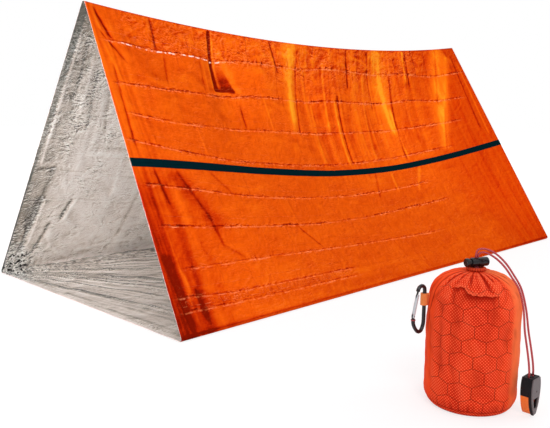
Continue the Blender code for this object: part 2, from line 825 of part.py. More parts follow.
def carabiner_points():
    """The rod's centre line, from the lower arm's end, round the spine to the nose."""
    top = TAB_CENTRE + TAB_WIDTH / 2 + GAP + ROD_RADIUS + SPINE_ABOVE_TAB
    lowest = SPINE_BOTTOM - ARM_DROP
    places = [
        (ARM_REACH, ARM_TOP),
        (ARM_REACH, ARM_TOP - ARM_STRAIGHT),
        (ARM_REACH * 0.96, ARM_TOP - ARM_STRAIGHT * 2.4),
        (ARM_REACH * 0.77, SPINE_BOTTOM - LOWER_BEND),
        (ARM_REACH * 0.50, lowest),
        (ARM_REACH * 0.22, lowest + LOWER_BEND * 0.05),
        (ARM_REACH * 0.05, SPINE_BOTTOM - LOWER_BEND * 0.85),
        (0.0, SPINE_BOTTOM),
        (0.0, (SPINE_BOTTOM * 2 + top) / 3),
        (0.0, (SPINE_BOTTOM + top * 2) / 3),
        (0.0, top - ROD_RADIUS * 1.6),
        (0.0, top),
        (TOP_REACH * 0.12, top + TOP_RISE * 0.60),
        (TOP_REACH * 0.45, top + TOP_RISE),
        (TOP_REACH * 0.85, top + TOP_RISE * 0.70),
        (TOP_REACH, top),
    ]
    route = [Vector((x, 0.0, z)) for x, z in places]
    return route, route[0], route[-1]


def build_carabiner(frame):
    """The carabiner's body, gate, pins and spring, in its own upright plane."""
    black = make_material("carabiner_black", (0.012, 0.012, 0.013), 0.28, 0.4)
    silver = make_material("carabiner_gate_silver", (0.80, 0.81, 0.82), 0.22, 1.0)
    pin_steel = make_material("carabiner_pin_steel", (0.16, 0.16, 0.17), 0.35, 1.0)
    ring_red = make_material("carabiner_ring_red", (0.55, 0.06, 0.05), 0.4)
    spring_steel = make_material("gate_spring_steel", (0.55, 0.55, 0.56), 0.3, 1.0)
    pivot = add_empty("carabiner_swing_axis", frame, (-spine_distance(), 0, 0), math.pi + CARABINER_TURN)

    route, arm, nose = carabiner_points()
    rod = smooth_route(route, ROD_STEP)
    body_mesh = solid_from_curve("carabiner_body", poly_curve("rod", rod, ROD_RADIUS, 3))
    body = add_part("carabiner_body", body_mesh, black, pivot)

    hinge = arm + Vector((HINGE_OFFSET, 0, HINGE_RISE))
    lean = nose - Vector((0, 0, NOSE_ABOVE_GATE)) - hinge
    gate_length = lean.length
    latch_at = gate_length - LATCH_DROP
    pin_room = PIN_RADIUS + GAP
    across = 2 * (GATE_RADIUS + CUT_OVERRUN)
    gate_turn = Matrix.Rotation(math.atan2(lean.x, lean.z), 4, "Y")
    upright = Matrix.Translation(hinge) @ gate_turn

    size = (HINGE_TONGUE[0], TONGUE, HINGE_TONGUE[1])
    hinge_tongue = box_mesh("hinge_tongue_join", size, hinge - Vector((0, 0, HINGE_TONGUE_DROP)))
    boolean(body, add_cutter("hinge_tongue_join", hinge_tongue, pivot), "UNION")
    size = (NOSE_TONGUE[0], TONGUE, NOSE_TONGUE[1])
    nose_tongue = box_mesh("nose_tongue_join", size, (NOSE_TONGUE_AT, 0, gate_length + NOSE_TONGUE_AT))
    boolean(body, add_cutter("nose_tongue_join", nose_tongue, pivot, upright), "UNION")
    hinge_hole = rod_mesh("hinge_pin_cut", pin_room, across, "Y", hinge, PIN_STEPS)
    boolean(body, add_cutter("hinge_pin_cut", hinge_hole, pivot))
    notch = rod_mesh("nose_notch_cut", pin_room, across, "Y", (LATCH_OFFSET, 0, latch_at), PIN_STEPS)
    boolean(body, add_cutter("nose_notch_cut", notch, pivot, upright))

    gate_frame = add_empty("gate_hinge_axis", pivot, hinge)
    low, high = -GATE_BELOW_HINGE, gate_length - GATE_END_CLEAR
    gate_mesh = rod_mesh("carabiner_gate", GATE_RADIUS, high - low, "Z", (0, 0, (low + high) / 2), 24)
    gate_mesh.transform(gate_turn)
    gate = add_part("carabiner_gate", gate_mesh, silver, gate_frame)
    bore_radius = GATE_SPRING_RADIUS + GATE_SPRING_WIRE + GATE_BORE_CLEAR
    bore_low, bore_top = GATE_BORE
    bore_at = (0, 0, (bore_top + bore_low) / 2)
    latch_hole = (LATCH_OFFSET, 0, latch_at)
    cuts = (
        box_mesh("gate_low_slot_cut", (LOW_SLOT[0], GATE_SLOT, LOW_SLOT[1]), (0, 0, -LOW_SLOT_DROP)),
        box_mesh("gate_top_slot_cut", (TOP_SLOT[0], GATE_SLOT, TOP_SLOT[1]), (TOP_SLOT_AT, 0, high)),
        rod_mesh("gate_bore_cut", bore_radius, bore_top - bore_low, "Z", bore_at, PIN_STEPS),
        rod_mesh("gate_hinge_hole", pin_room, across, "Y", (0, 0, 0), PIN_STEPS),
        rod_mesh("gate_latch_hole", pin_room, across, "Y", latch_hole, PIN_STEPS),
    )
    for cut in cuts:
        cut.transform(gate_turn)
        boolean(gate, add_cutter(cut.name, cut, gate_frame))

    pin_length = 2 * GATE_RADIUS + GATE_END_CLEAR
    pin = rod_mesh("gate_hinge_pin", PIN_RADIUS, pin_length, "Y", hinge, PIN_STEPS)
    add_part("gate_hinge_pin", pin, pin_steel, pivot)
    pin_length = 2 * (GATE_RADIUS - GATE_END_CLEAR)
    latch = rod_mesh("gate_latch_pin", PIN_RADIUS, pin_length, "Y", latch_hole, PIN_STEPS)
    latch.transform(gate_turn)
    add_part("gate_latch_pin", latch, pin_steel, gate_frame)

    first = GATE_SPRING_START + GATE_SPRING_WIRE + GAP
    coil = helix(GATE_SPRING_RADIUS, first, bore_top - GATE_SPRING_WIRE - GAP, GATE_SPRING_TURNS, 8)
    points = [gate_turn @ Vector(p) for p in coil]
    wire = poly_curve("gate_spring", points, GATE_SPRING_WIRE, resolution=1)
    add_part("gate_spring", wire, spring_steel, gate_frame)

    band = [rod[0].lerp(rod[1], share) for share in RING_AT]
    ring = poly_curve("carabiner_ring", band, ROD_RADIUS + GAP + RING_WALL, resolution=4, caps=False)
    ring_part = add_part("carabiner_ring", ring, ring_red, pivot)
    wall = ring_part.modifiers.new("wall", "SOLIDIFY")
    wall.thickness = RING_WALL
    wall.offset = -1.0


# Whistle and free cord


def whistle_half_width(z):
    """Half width of the whistle's outline above its tip."""
    if z < WHISTLE_WIDEST:
        return WHISTLE_HALF_WIDTH * (1 - (1 - z / WHISTLE_WIDEST) ** 2) ** 0.7
    fall = (z - WHISTLE_WIDEST) / (WHISTLE_HEIGHT - WHISTLE_WIDEST)
    return WHISTLE_HALF_WIDTH - (WHISTLE_HALF_WIDTH - WHISTLE_TOP_HALF) * fall ** 2


def whistle_outline(low, high, inset=0.0):
    """The whistle's outline between two heights above the tip, drawn in by an inset."""
    steps = 14
    heights = [low + (high - low) * (k / steps) ** 1.35 for k in range(steps + 1)]
    right = [(max(0.0016, whistle_half_width(max(z, 0.0005)) - inset), z) for z in heights]
    left = [(-x, z) for x, z in reversed(right)]
    return right + left


def plate_part(name, loop, front, back, mat, frame, holes=()):
    """A plate upright in the whistle's XZ plane, from its front to its back."""
    curve = outline_curve(name, loop, (back - front) / 2, holes)
    stand = Matrix.Rotation(math.pi / 2, 4, "X")
    place = Matrix.Translation((0, (front + back) / 2, 0)) @ stand
    mesh = solid_from_curve(name, curve, place)
    return add_part(name, mesh, mat, frame)


def window_loop(margin=0.0):
    """The window's outline, wider towards its top."""
    low = (WINDOW_LOW_HALF + margin, WINDOW_LOW - margin)
    high = (WINDOW_HIGH_HALF + margin, WINDOW_HIGH + margin)
    return [low, high, (-high[0], high[1]), (-low[0], low[1])]


def build_whistle(frame):
    """The whistle's four shells, with a passage at the top for the cord's loop."""
    face_grey = make_material("whistle_face_grey", (0.16, 0.15, 0.155), 0.5)
    frame_black = make_material("whistle_frame_black", (0.012, 0.012, 0.014), 0.4)
    housing_black = make_material("whistle_housing_black", (0.012, 0.012, 0.014), 0.42)
    orange = make_material("whistle_insert_orange", (0.90, 0.22, 0.03), 0.4)
    x, y = WHISTLE_PLACE
    whistle = add_empty("whistle_frame", frame, (x, y, WHISTLE_TIP))
    front = -WHISTLE_THICKNESS / 2
    eyelet = [
        (EYELET_PLACE[0] + EYELET_RADIUS * math.cos(a), EYELET_PLACE[1] + EYELET_RADIUS * math.sin(a))
        for a in (2 * math.pi * k / 12 for k in range(12))
    ]
    face_loop = whistle_outline(0.0035, WHISTLE_HEIGHT - 0.0012, 0.0012)
    holes = [window_loop(), eyelet]
    plate_part("whistle_face", face_loop, front, front + FACE_THICKNESS, face_grey, whistle, holes)
    frame_front = front + FACE_THICKNESS + GAP
    frame_back = frame_front + FRAME_THICKNESS
    full = whistle_outline(0.0, WHISTLE_HEIGHT)
    plate_part("whistle_frame_plate", full, frame_front, frame_back, frame_black, whistle, holes)
    rear_front = frame_back + GAP
    rear_back = WHISTLE_THICKNESS / 2
    split = WHISTLE_HEIGHT - HOUSING_HEIGHT
    upper = whistle_outline(split, WHISTLE_HEIGHT, 0.0002)
    housing = plate_part("whistle_housing", upper, rear_front, rear_back, housing_black, whistle)
    lower = whistle_outline(0.0020, split - GAP, 0.0006)
    insert = plate_part("whistle_insert", lower, rear_front, rear_back, orange, whistle)

    stand = Matrix.Translation((0, rear_front, 0)) @ Matrix.Rotation(math.pi / 2, 4, "X")
    chamber_plate = outline_curve("whistle_chamber_cut", window_loop(CHAMBER_MARGIN), CHAMBER_DEPTH)
    chamber_mesh = solid_from_curve("whistle_chamber_cut", chamber_plate, stand)
    boolean(insert, add_cutter("whistle_chamber_cut", chamber_mesh, whistle))

    room = CORD_RADIUS + GAP
    bight = WHISTLE_HEIGHT - LOOP_DEPTH
    inner = LOOP_HALF_SPAN - LOOP_BEND
    outer = LOOP_HALF_SPAN + room
    for name, side in (("whistle_left_slot_cut", -1), ("whistle_right_slot_cut", 1)):
        size = (outer - inner, 2 * (room + SWING_ROOM), 2 * LOOP_DEPTH + 2 * room)
        slot = box_mesh(name, size, (side * (outer + inner) / 2, LOOP_AT, WHISTLE_HEIGHT))
        boolean(housing, add_cutter(name, slot, whistle))
    tunnel = rod_mesh("whistle_tunnel_cut", room, 2 * outer - room, "X", (0, LOOP_AT, bight), 16)
    boolean(housing, add_cutter("whistle_tunnel_cut", tunnel, whistle))


def loop_points():
    """The cord's loop in the whistle, from its left end round to its right end."""
    low = WHISTLE_HEIGHT - LOOP_DEPTH
    left = [Vector((-LOOP_HALF_SPAN, LOOP_AT, WHISTLE_HEIGHT))]
    bends = 5
    for k in range(bends + 1):
        a = math.pi / 2 * k / bends
        x = -LOOP_HALF_SPAN + LOOP_BEND * (1 - math.cos(a))
        left.append(Vector((x, LOOP_AT, low + LOOP_BEND * (1 - math.sin(a)))))
    return left + [Vector((-p.x, p.y, p.z)) for p in reversed(left)]


def build_loop(frame):
    """The held loop of the drawcord that the whistle hangs on."""
    cord = make_material("whistle_loop_cord", (0.62, 0.10, 0.10), 0.7)
    place = Matrix.Translation((*WHISTLE_PLACE, WHISTLE_TIP))
    add_part("whistle_cord_loop", poly_curve("whistle_cord_loop", loop_points(), CORD_RADIUS), cord, frame, place)


def strand_route(side, middle):
    """A free strand from the lock's top, over the shoulder, to the whistle's loop."""
    start = Matrix.Rotation(LOCK_TURN, 3, "Z") @ Vector((side * STRAND_OFFSET, 0.0, 0.0))
    top = lock_height() + LOCK_RADIUS
    loop_end = Vector((*WHISTLE_PLACE, 0.0)) + Vector((-side * LOOP_HALF_SPAN, LOOP_AT, 0.0))
    end = Matrix.Rotation(-SACK_TURN, 3, "Z") @ loop_end
    foot = WHISTLE_TIP + WHISTLE_HEIGHT + GAP
    route = [Vector((start.x, start.y, top)), Vector((start.x, start.y, top + 0.004))]
    route += [Vector(p) for p in middle]
    route += [Vector((end.x, end.y, foot + 0.009)), Vector((end.x, end.y, foot))]
    return route


def build_strands(frame):
    """The two free strands of the drawcord."""
    strands = (("drawcord_front", 1, FRONT_STRAND), ("drawcord_rear", -1, REAR_STRAND))
    for name, side, middle in strands:
        cord = make_material(name + "_cord", (0.62, 0.10, 0.10), 0.7)
        route = strand_route(side, middle)
        points = [route[0]] + smooth_route(route[1:-1], STRAND_STEP) + [route[-1]]
        add_part(name, poly_curve(name, points, CORD_RADIUS), cord, frame)


def main():
    """Builds the tent, then the sack with everything on it."""
    build_tent()
    sack = add_empty("sack_frame", None, (*SACK_PLACE, 0.0), SACK_TURN)
    build_sack(sack)
    lock = add_empty("lock_frame", sack, (0, 0, 0), LOCK_TURN)
    build_channel(lock)
    build_held_cord(lock)
    build_lock(lock)
    build_strands(sack)
    build_tab(sack)
    build_carabiner(sack)
    square = add_empty("whistle_square", None, (*SACK_PLACE, 0.0))
    build_whistle(square)
    build_loop(square)


main()
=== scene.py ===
"""Looks of the emergency tent: the film tube, its stripes, and the stuff sack with all that hangs on it."""

from __future__ import annotations

import logging
import math
from dataclasses import dataclass, field
from enum import Enum
from typing import Any, Sequence

import bmesh
import bpy
import numpy as np
from mathutils import Matrix, Vector


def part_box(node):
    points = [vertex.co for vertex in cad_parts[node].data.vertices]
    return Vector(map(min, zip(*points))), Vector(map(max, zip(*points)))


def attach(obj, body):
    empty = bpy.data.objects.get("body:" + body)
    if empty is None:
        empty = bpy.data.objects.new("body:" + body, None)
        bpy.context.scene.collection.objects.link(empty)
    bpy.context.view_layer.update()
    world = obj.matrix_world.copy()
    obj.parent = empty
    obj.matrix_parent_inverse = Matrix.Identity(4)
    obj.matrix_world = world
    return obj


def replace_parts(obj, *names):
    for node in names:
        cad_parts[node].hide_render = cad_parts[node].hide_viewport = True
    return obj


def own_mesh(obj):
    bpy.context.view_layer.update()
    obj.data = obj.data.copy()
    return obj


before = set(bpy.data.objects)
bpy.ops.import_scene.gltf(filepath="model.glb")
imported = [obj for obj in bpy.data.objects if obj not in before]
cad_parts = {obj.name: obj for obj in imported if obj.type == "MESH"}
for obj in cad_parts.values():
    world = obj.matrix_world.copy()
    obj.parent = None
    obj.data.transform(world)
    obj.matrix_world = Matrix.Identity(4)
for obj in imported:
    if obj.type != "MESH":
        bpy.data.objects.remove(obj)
log = logging.getLogger("tent")

Array = np.ndarray
Material = bpy.types.Material
Piece = bpy.types.Object
# Three numbers: a place, a direction or a colour
Triple = tuple[float, float, float]

SACK_PLACE = (-0.845, -1.172, 0.0)
SACK_RADIUS = 0.091


class Slot(Enum):
    """Slots of the record for this script's own pieces."""

    ORANGE_FILM = "orange_film"
    SILVER_FILM = "silver_film"
    STRIPE = "stripe_tape"
    RIPSTOP = "sack_ripstop"
    BUNDLE = "packed_film"
    CORD = "drawcord"
    STEEL = "steel"
    WEBBING = "tab_webbing"
    THREAD = "tab_thread"


class Body(Enum):
    """Bodies that this script's own pieces ride on."""

    TENT = "tent"
    SACK = "stuff_sack"


# Shader maths


class Signal:
    """A node's output on which Python's arithmetic adds Math nodes."""

    def __init__(self, paint: Paint, socket: bpy.types.NodeSocket) -> None:
        """Wraps a socket of a paint's node tree."""
        self.paint = paint
        self.socket = socket

    def worked(self, operation: str, other: Any = None, first: Any = None, clamp: bool = False) -> Signal:
        """Adds one Math node.

        Args:
            operation: the Math node's operation.
            other: the second value, where the operation has one.
            first: the first value, where it isn't this signal.
            clamp: whether the result is kept from 0 to 1.

        Returns:
            The node's result.
        """
        inputs: dict[Any, Any] = {0: self if first is None else first}
        if other is not None:
            inputs[1] = other
        return self.paint.node("ShaderNodeMath", {"operation": operation, "use_clamp": clamp}, inputs)

    def __add__(self, other: Any) -> Signal:
        """Adds a value."""
        return self.worked("ADD", other)

    __radd__ = __add__

    def __sub__(self, other: Any) -> Signal:
        """Takes a value away."""
        return self.worked("SUBTRACT", other)

    def __rsub__(self, other: Any) -> Signal:
        """Takes this signal from a value."""
        return self.worked("SUBTRACT", self, first=other)

    def __mul__(self, other: Any) -> Signal:
        """Multiplies by a value."""
        return self.worked("MULTIPLY", other)

    __rmul__ = __mul__

    def __truediv__(self, other: Any) -> Signal:
        """Divides by a value."""
        return self.worked("DIVIDE", other)

    def size(self) -> Signal:
        """Returns the value without its sign."""
        return self.worked("ABSOLUTE")

    def sine(self) -> Signal:
        """Returns the sine."""
        return self.worked("SINE")

    def part(self) -> Signal:
        """Returns what is left after the whole part."""
        return self.worked("FRACT")

    def least(self, other: Any) -> Signal:
        """Returns the smaller of two values."""
        return self.worked("MINIMUM", other)

    def most(self, other: Any) -> Signal:
        """Returns the larger of two values."""
        return self.worked("MAXIMUM", other)

    def held(self) -> Signal:
        """Keeps the value from 0 to 1."""
        return self.worked("ADD", 0.0, clamp=True)

    def step(self, low: float, high: float) -> Signal:
        """Turns smoothly from 0 at a low value to 1 at a high one."""
        settings = {"interpolation_type": "SMOOTHSTEP"}
        return self.paint.node("ShaderNodeMapRange", settings, {0: self, 1: low, 2: high, 3: 0.0, 4: 1.0})

    def fall(self, low: float, high: float) -> Signal:
        """Turns smoothly from 1 at a low value to 0 at a high one."""
        return (self * -1.0).step(-high, -low)


class Paint:
    """One material or world, built node by node."""

    UV, OBJECT = 2, 3
    MIX_SHARE, MIX_FIRST, MIX_SECOND, MIX_COLOUR = 0, 6, 7, 2

    def __init__(self, name: str, world: bpy.types.World | None = None) -> None:
        """Starts a material with an empty Principled shader, or takes a world.

        Args:
            name: the material's name.
            world: the world, where one is painted.
        """
        self.material = world or bpy.data.materials.new(name)
        self.material.use_nodes = True
        self.tree = self.material.node_tree

    def link(self, socket: bpy.types.NodeSocket, value: Any) -> None:
        """Gives a socket a constant, or a link from a signal.

        Args:
            socket: what is set.
            value: a number, a colour or a signal.
        """
        if isinstance(value, Signal):
            self.tree.links.new(value.socket, socket)
        elif socket.type == "RGBA" and len(value) == 3:
            socket.default_value = (*value, 1.0)
        else:
            socket.default_value = value

    def node(
        self, kind: str, settings: dict[str, Any] | None = None, inputs: dict[Any, Any] | None = None,
        output: int = 0,
    ) -> Signal:
        """Adds a node.

        Args:
            kind: the node's type.
            settings: properties that are set first; "stops" fills a ramp.
            inputs: values or signals by socket name or number.
            output: the number of the output that is returned.

        Returns:
            That output.
        """
        made = self.tree.nodes.new(kind)
        for key, value in (settings or {}).items():
            if key == "stops":
                ramp = made.color_ramp
                while len(ramp.elements) < len(value):
                    ramp.elements.new(0.5)
                for element, (place, colour) in zip(ramp.elements, value):
                    element.position = place
                    element.color = (*colour, 1.0)
            else:
                setattr(made, key, value)
        for key, value in (inputs or {}).items():
            self.link(made.inputs[key], value)
        return Signal(self, made.outputs[output])

    def surface(self) -> Signal:
        """Returns the piece's own UV map, which is laid out in metres."""
        return self.node("ShaderNodeTexCoord", output=self.UV)

    def place(self) -> Signal:
        """Returns Object coordinates."""
        return self.node("ShaderNodeTexCoord", output=self.OBJECT)

    def attribute(self, name: str) -> Signal:
        """Returns a number stored on the mesh."""
        return self.node("ShaderNodeAttribute", {"attribute_name": name}, output=2)

    def axes(self, where: Signal) -> tuple[Signal, Signal, Signal]:
        """Splits a vector.

        Args:
            where: the vector.

        Returns:
            Its X, Y and Z.
        """
        first = self.node("ShaderNodeSeparateXYZ", inputs={0: where})
        outputs = first.socket.node.outputs
        return first, Signal(self, outputs[1]), Signal(self, outputs[2])

    def joined(self, x: Any, y: Any, z: Any) -> Signal:
        """Joins three numbers into one place."""
        return self.node("ShaderNodeCombineXYZ", inputs={0: x, 1: y, 2: z})

    def stretched(self, where: Signal, scale: Sequence[float], turn: float = 0.0) -> Signal:
        """Scales and turns a pattern's coordinates."""
        return self.node("ShaderNodeMapping", inputs={0: where, 2: (0.0, 0.0, turn), 3: tuple(scale)})

    def noise(
        self, where: Signal, scale: float, detail: float = 3.0, rough: float = 0.5, bend: float = 0.0
    ) -> Signal:
        """Returns soft noise."""
        inputs = {"Vector": where, "Scale": scale, "Detail": detail, "Roughness": rough, "Distortion": bend}
        return self.node("ShaderNodeTexNoise", inputs=inputs)

    def pressed(
        self, where: Signal, scale: float, shift: Sequence[float], detail: float = 4.0, rough: float = 0.6,
        bend: float = 0.0,
    ) -> Signal:
        """Returns the slope of sharp wavy ridges along a shift: below 0 on one side, above 0 on the other.

        Args:
            where: the pattern's coordinates.
            scale: ridges in a metre, about.
            shift: from one side of a ridge to the other.
            detail: how many finer layers the noise has.
            rough: how strong they are.
            bend: how far it is bent.

        Returns:
            The slope.
        """
        moved = self.node("ShaderNodeMapping", inputs={0: where, 1: tuple(shift)})
        here = (self.noise(where, scale, detail, rough, bend) - 0.5).size()
        there = (self.noise(moved, scale, detail, rough, bend) - 0.5).size()
        return here - there

    def blend(self, share: Any, first: Any, second: Any) -> Signal:
        """Mixes two colours."""
        inputs = {self.MIX_SHARE: share, self.MIX_FIRST: first, self.MIX_SECOND: second}
        return self.node("ShaderNodeMix", {"data_type": "RGBA"}, inputs, self.MIX_COLOUR)

    def ramp(self, share: Signal, *stops: tuple[float, Triple]) -> Signal:
        """Reads a colour off a ramp of places and colours."""
        return self.node("ShaderNodeValToRGB", {"stops": stops}, {0: share})

    def bump(
        self, height: Signal, distance: float, strength: float = 1.0, below: Signal | None = None
    ) -> Signal:
        """Turns a height into a surface's normal.

        Args:
            height: the relief, 0 to 1.
            distance: how high 1 stands, in metres.
            strength: how much of it shows.
            below: a normal that it lies on.

        Returns:
            The normal.
        """
        inputs: dict[str, Any] = {"Height": height, "Distance": distance, "Strength": strength}
        if below is not None:
            inputs["Normal"] = below
        return self.node("ShaderNodeBump", inputs=inputs)

    def finished(self, **sockets: Any) -> Material:
        """Sets the Principled shader's sockets, whose names are written with _ for spaces.

        Returns:
            The material.
        """
        shader = self.tree.nodes["Principled BSDF"]
        for name, value in sockets.items():
            self.link(shader.inputs[name.replace("_", " ")], value)
        return self.material

    def ended(self, shader: Signal, output: str) -> None:
        """Gives a material's or world's output its shader."""
        self.tree.links.new(shader.socket, self.tree.nodes[output].inputs[0])


def shown(name: str, data: bpy.types.ID) -> Piece:
    """Puts an object with that data in the scene.

    Args:
        name: the object's name.
        data: its mesh, lamp or camera.

    Returns:
        The object.
    """
    piece = bpy.data.objects.new(name, data)
    bpy.context.scene.collection.objects.link(piece)
    return piece


def mesh_from(name: str, bm: bmesh.types.BMesh) -> bpy.types.Mesh:
    """Turns a bmesh into a mesh, and frees it.

    Args:
        name: the mesh's name.
        bm: what it is made from.

    Returns:
        The mesh.
    """
    mesh = bpy.data.meshes.new(name)
    bm.to_mesh(mesh)
    bm.free()
    return mesh


def thickened(piece: Piece, name: str, thickness: float, offset: float = -1.0) -> None:
    """Gives a sheet a thickness, by default all of it on its inner side."""
    thick = piece.modifiers.new(name, "SOLIDIFY")
    thick.thickness, thick.offset = thickness, offset


# Noise and folds on a flat sheet


class Wander:
    """Smooth noise over a flat sheet, the same on every run."""

    size = 256

    def __init__(self, seed: int) -> None:
        """Draws the slopes at the corners of the noise's squares."""
        turn = np.random.default_rng(seed).uniform(0.0, 2.0 * np.pi, (self.size, self.size))
        self.east, self.north = np.cos(turn), np.sin(turn)

    def at(self, x: Array, y: Array) -> Array:
        """Returns noise of about -1 to 1 at each point.

        Args:
            x: places across, in squares of the noise.
            y: places up.

        Returns:
            The noise.
        """
        x0, y0 = np.floor(x).astype(int), np.floor(y).astype(int)
        fx, fy = x - x0, y - y0
        sx, sy = fx ** 3 * (fx * (fx * 6 - 15) + 10), fy ** 3 * (fy * (fy * 6 - 15) + 10)
        total = np.zeros_like(fx)
        for i in (0, 1):
            for j in (0, 1):
                a, b = (x0 + i) % self.size, (y0 + j) % self.size
                lean = self.east[a, b] * (fx - i) + self.north[a, b] * (fy - j)
                total += lean * (sx if i else 1 - sx) * (sy if j else 1 - sy)
        return total * 1.6

    def layered(self, x: Array, y: Array, layers: int = 3) -> Array:
        """Returns noise with finer noise laid over it.

        Args:
            x: places across, in squares of the noise.
            y: places up.
            layers: how many there are.

        Returns:
            The noise.
        """
        total = np.zeros_like(x)
        for k in range(layers):
            total += self.at(x * 2 ** k + 17.3 * k, y * 2 ** k - 9.1 * k) / 2 ** k
        return total


class Crumple:
    """Flat facets with sharp folds between them, as in film that was squeezed."""

    def __init__(self, seed: int, folds: int = 7) -> None:
        """Draws the folds' directions, spacings and places.

        Args:
            seed: picks the folds.
            folds: how many directions they have.
        """
        draw = np.random.default_rng(seed)
        self.turns = draw.uniform(0.0, np.pi, folds)
        self.pitches = draw.uniform(0.7, 2.4, folds)
        self.starts = draw.uniform(0.0, 1.0, folds)
        self.warp = Wander(seed + 1)

    def at(self, x: Array, y: Array) -> Array:
        """Returns a crumpled height of about -1 to 1 at each point, with folds about one unit apart.

        Args:
            x: places across.
            y: places up.

        Returns:
            The heights.
        """
        bent_x = x + 0.9 * self.warp.at(x * 0.6, y * 0.6)
        bent_y = y + 0.9 * self.warp.at(x * 0.6 + 40.0, y * 0.6)
        total = np.zeros_like(x)
        for turn, pitch, start in zip(self.turns, self.pitches, self.starts):
            run = (bent_x * math.cos(turn) + bent_y * math.sin(turn)) / pitch + start
            total += (np.abs((run % 1.0) * 2 - 1) * 2 - 1) * pitch
        return total / self.pitches.sum() * 2


def eased(x: Array, low: float, high: float) -> Array:
    """Turns smoothly from 0 at a low value to 1 at a high one."""
    share = np.clip((x - low) / (high - low), 0.0, 1.0)
    return share * share * (3 - 2 * share)


def fading(x: Array, low: float, high: float) -> Array:
    """Turns smoothly from 1 at a low value to 0 at a high one."""
    return eased(-x, -high, -low)


def bell(x: Array, width: Array | float) -> Array:
    """Returns 1 at 0, which falls off smoothly over a width on both sides."""
    return np.exp(-((x / width) ** 2))


def trailing(x: Array, reach: float) -> Array:
    """Returns 1 below 0, which falls off over a reach above it."""
    return np.exp(-np.clip(x, 0, 1) / reach)


def softened(height: Array, reach: int) -> Array:
    """Blurs a grid of heights by a running mean each way.

    Args:
        height: the grid.
        reach: how many rows and columns it runs over, each way.

    Returns:
        The blurred grid.
    """
    out = height
    for axis in (0, 1):
        padded = np.pad(out, [(reach, reach) if axis == k else (0, 0) for k in (0, 1)], mode="edge")
        sums = np.cumsum(padded, axis=axis)
        width = 2 * reach + 1
        first = np.take(sums, [width - 1], axis=axis)
        rest = np.take(sums, range(width, sums.shape[axis]), axis=axis)
        rest = rest - np.take(sums, range(sums.shape[axis] - width), axis=axis)
        out = np.concatenate([first, rest], axis=axis) / width
    return out


@dataclass(frozen=True)
class Route:
    """A fold from one place to another, as its kind counts them."""

    start: tuple[float, float]
    end: tuple[float, float]
    depth: float
    width: float

    @classmethod
    def table(cls, *rows: Sequence[float]) -> tuple[Any, ...]:
        """Reads folds from rows of two places, a depth, a width and what else the kind has."""
        return tuple(cls(row[:2], row[2:4], *row[4:]) for row in rows)


@dataclass(frozen=True)
class Crease(Route):
    """A straight fold on a wall, from one place (u, t) to another, whose depth is outward."""

    side: float = 0.0

    def relief(self, u: Array, t: Array, length: float) -> tuple[Array, Array]:
        """Works out the fold's height and its painted shading, drawn out on its far side where side is above
        0.

        Args:
            u: places along the tent, 0 to 1.
            t: places down the wall, 0 to 1.
            length: the wall's length.

        Returns:
            The heights and the painted shading.
        """
        run = np.array([(self.end[0] - self.start[0]) * length, self.end[1] - self.start[1]])
        reach = float(np.hypot(*run))
        run = run / reach
        x, y = (u - self.start[0]) * length, t - self.start[1]
        ahead, off = x * run[0] + y * run[1], x * run[1] - y * run[0]
        bend = Wander(3).at(ahead / 0.022 + self.start[0] * 90, np.full_like(u, self.start[1] * 40))
        off = off + 0.0016 * bend
        ends = eased(ahead, -0.012, 0.02) * eased(reach - ahead, -0.012, 0.02)
        wide = self.width * (1 + np.where(off > 0, max(self.side, 0.0), max(-self.side, 0.0)) * 3)
        core = 0.0022 + (0.16 if self.depth < 0 else 0.5) * self.width
        # Painted shade along a fold whose depth is below 0, painted highlight along one whose depth is above
        # 0
        crease_shading = np.clip(self.depth / 0.0065, -1, 1) * bell(off, core)
        return 0.55 * self.depth * np.exp(-np.abs(off) / wide) * ends, 0.75 * crease_shading * ends


# Tent


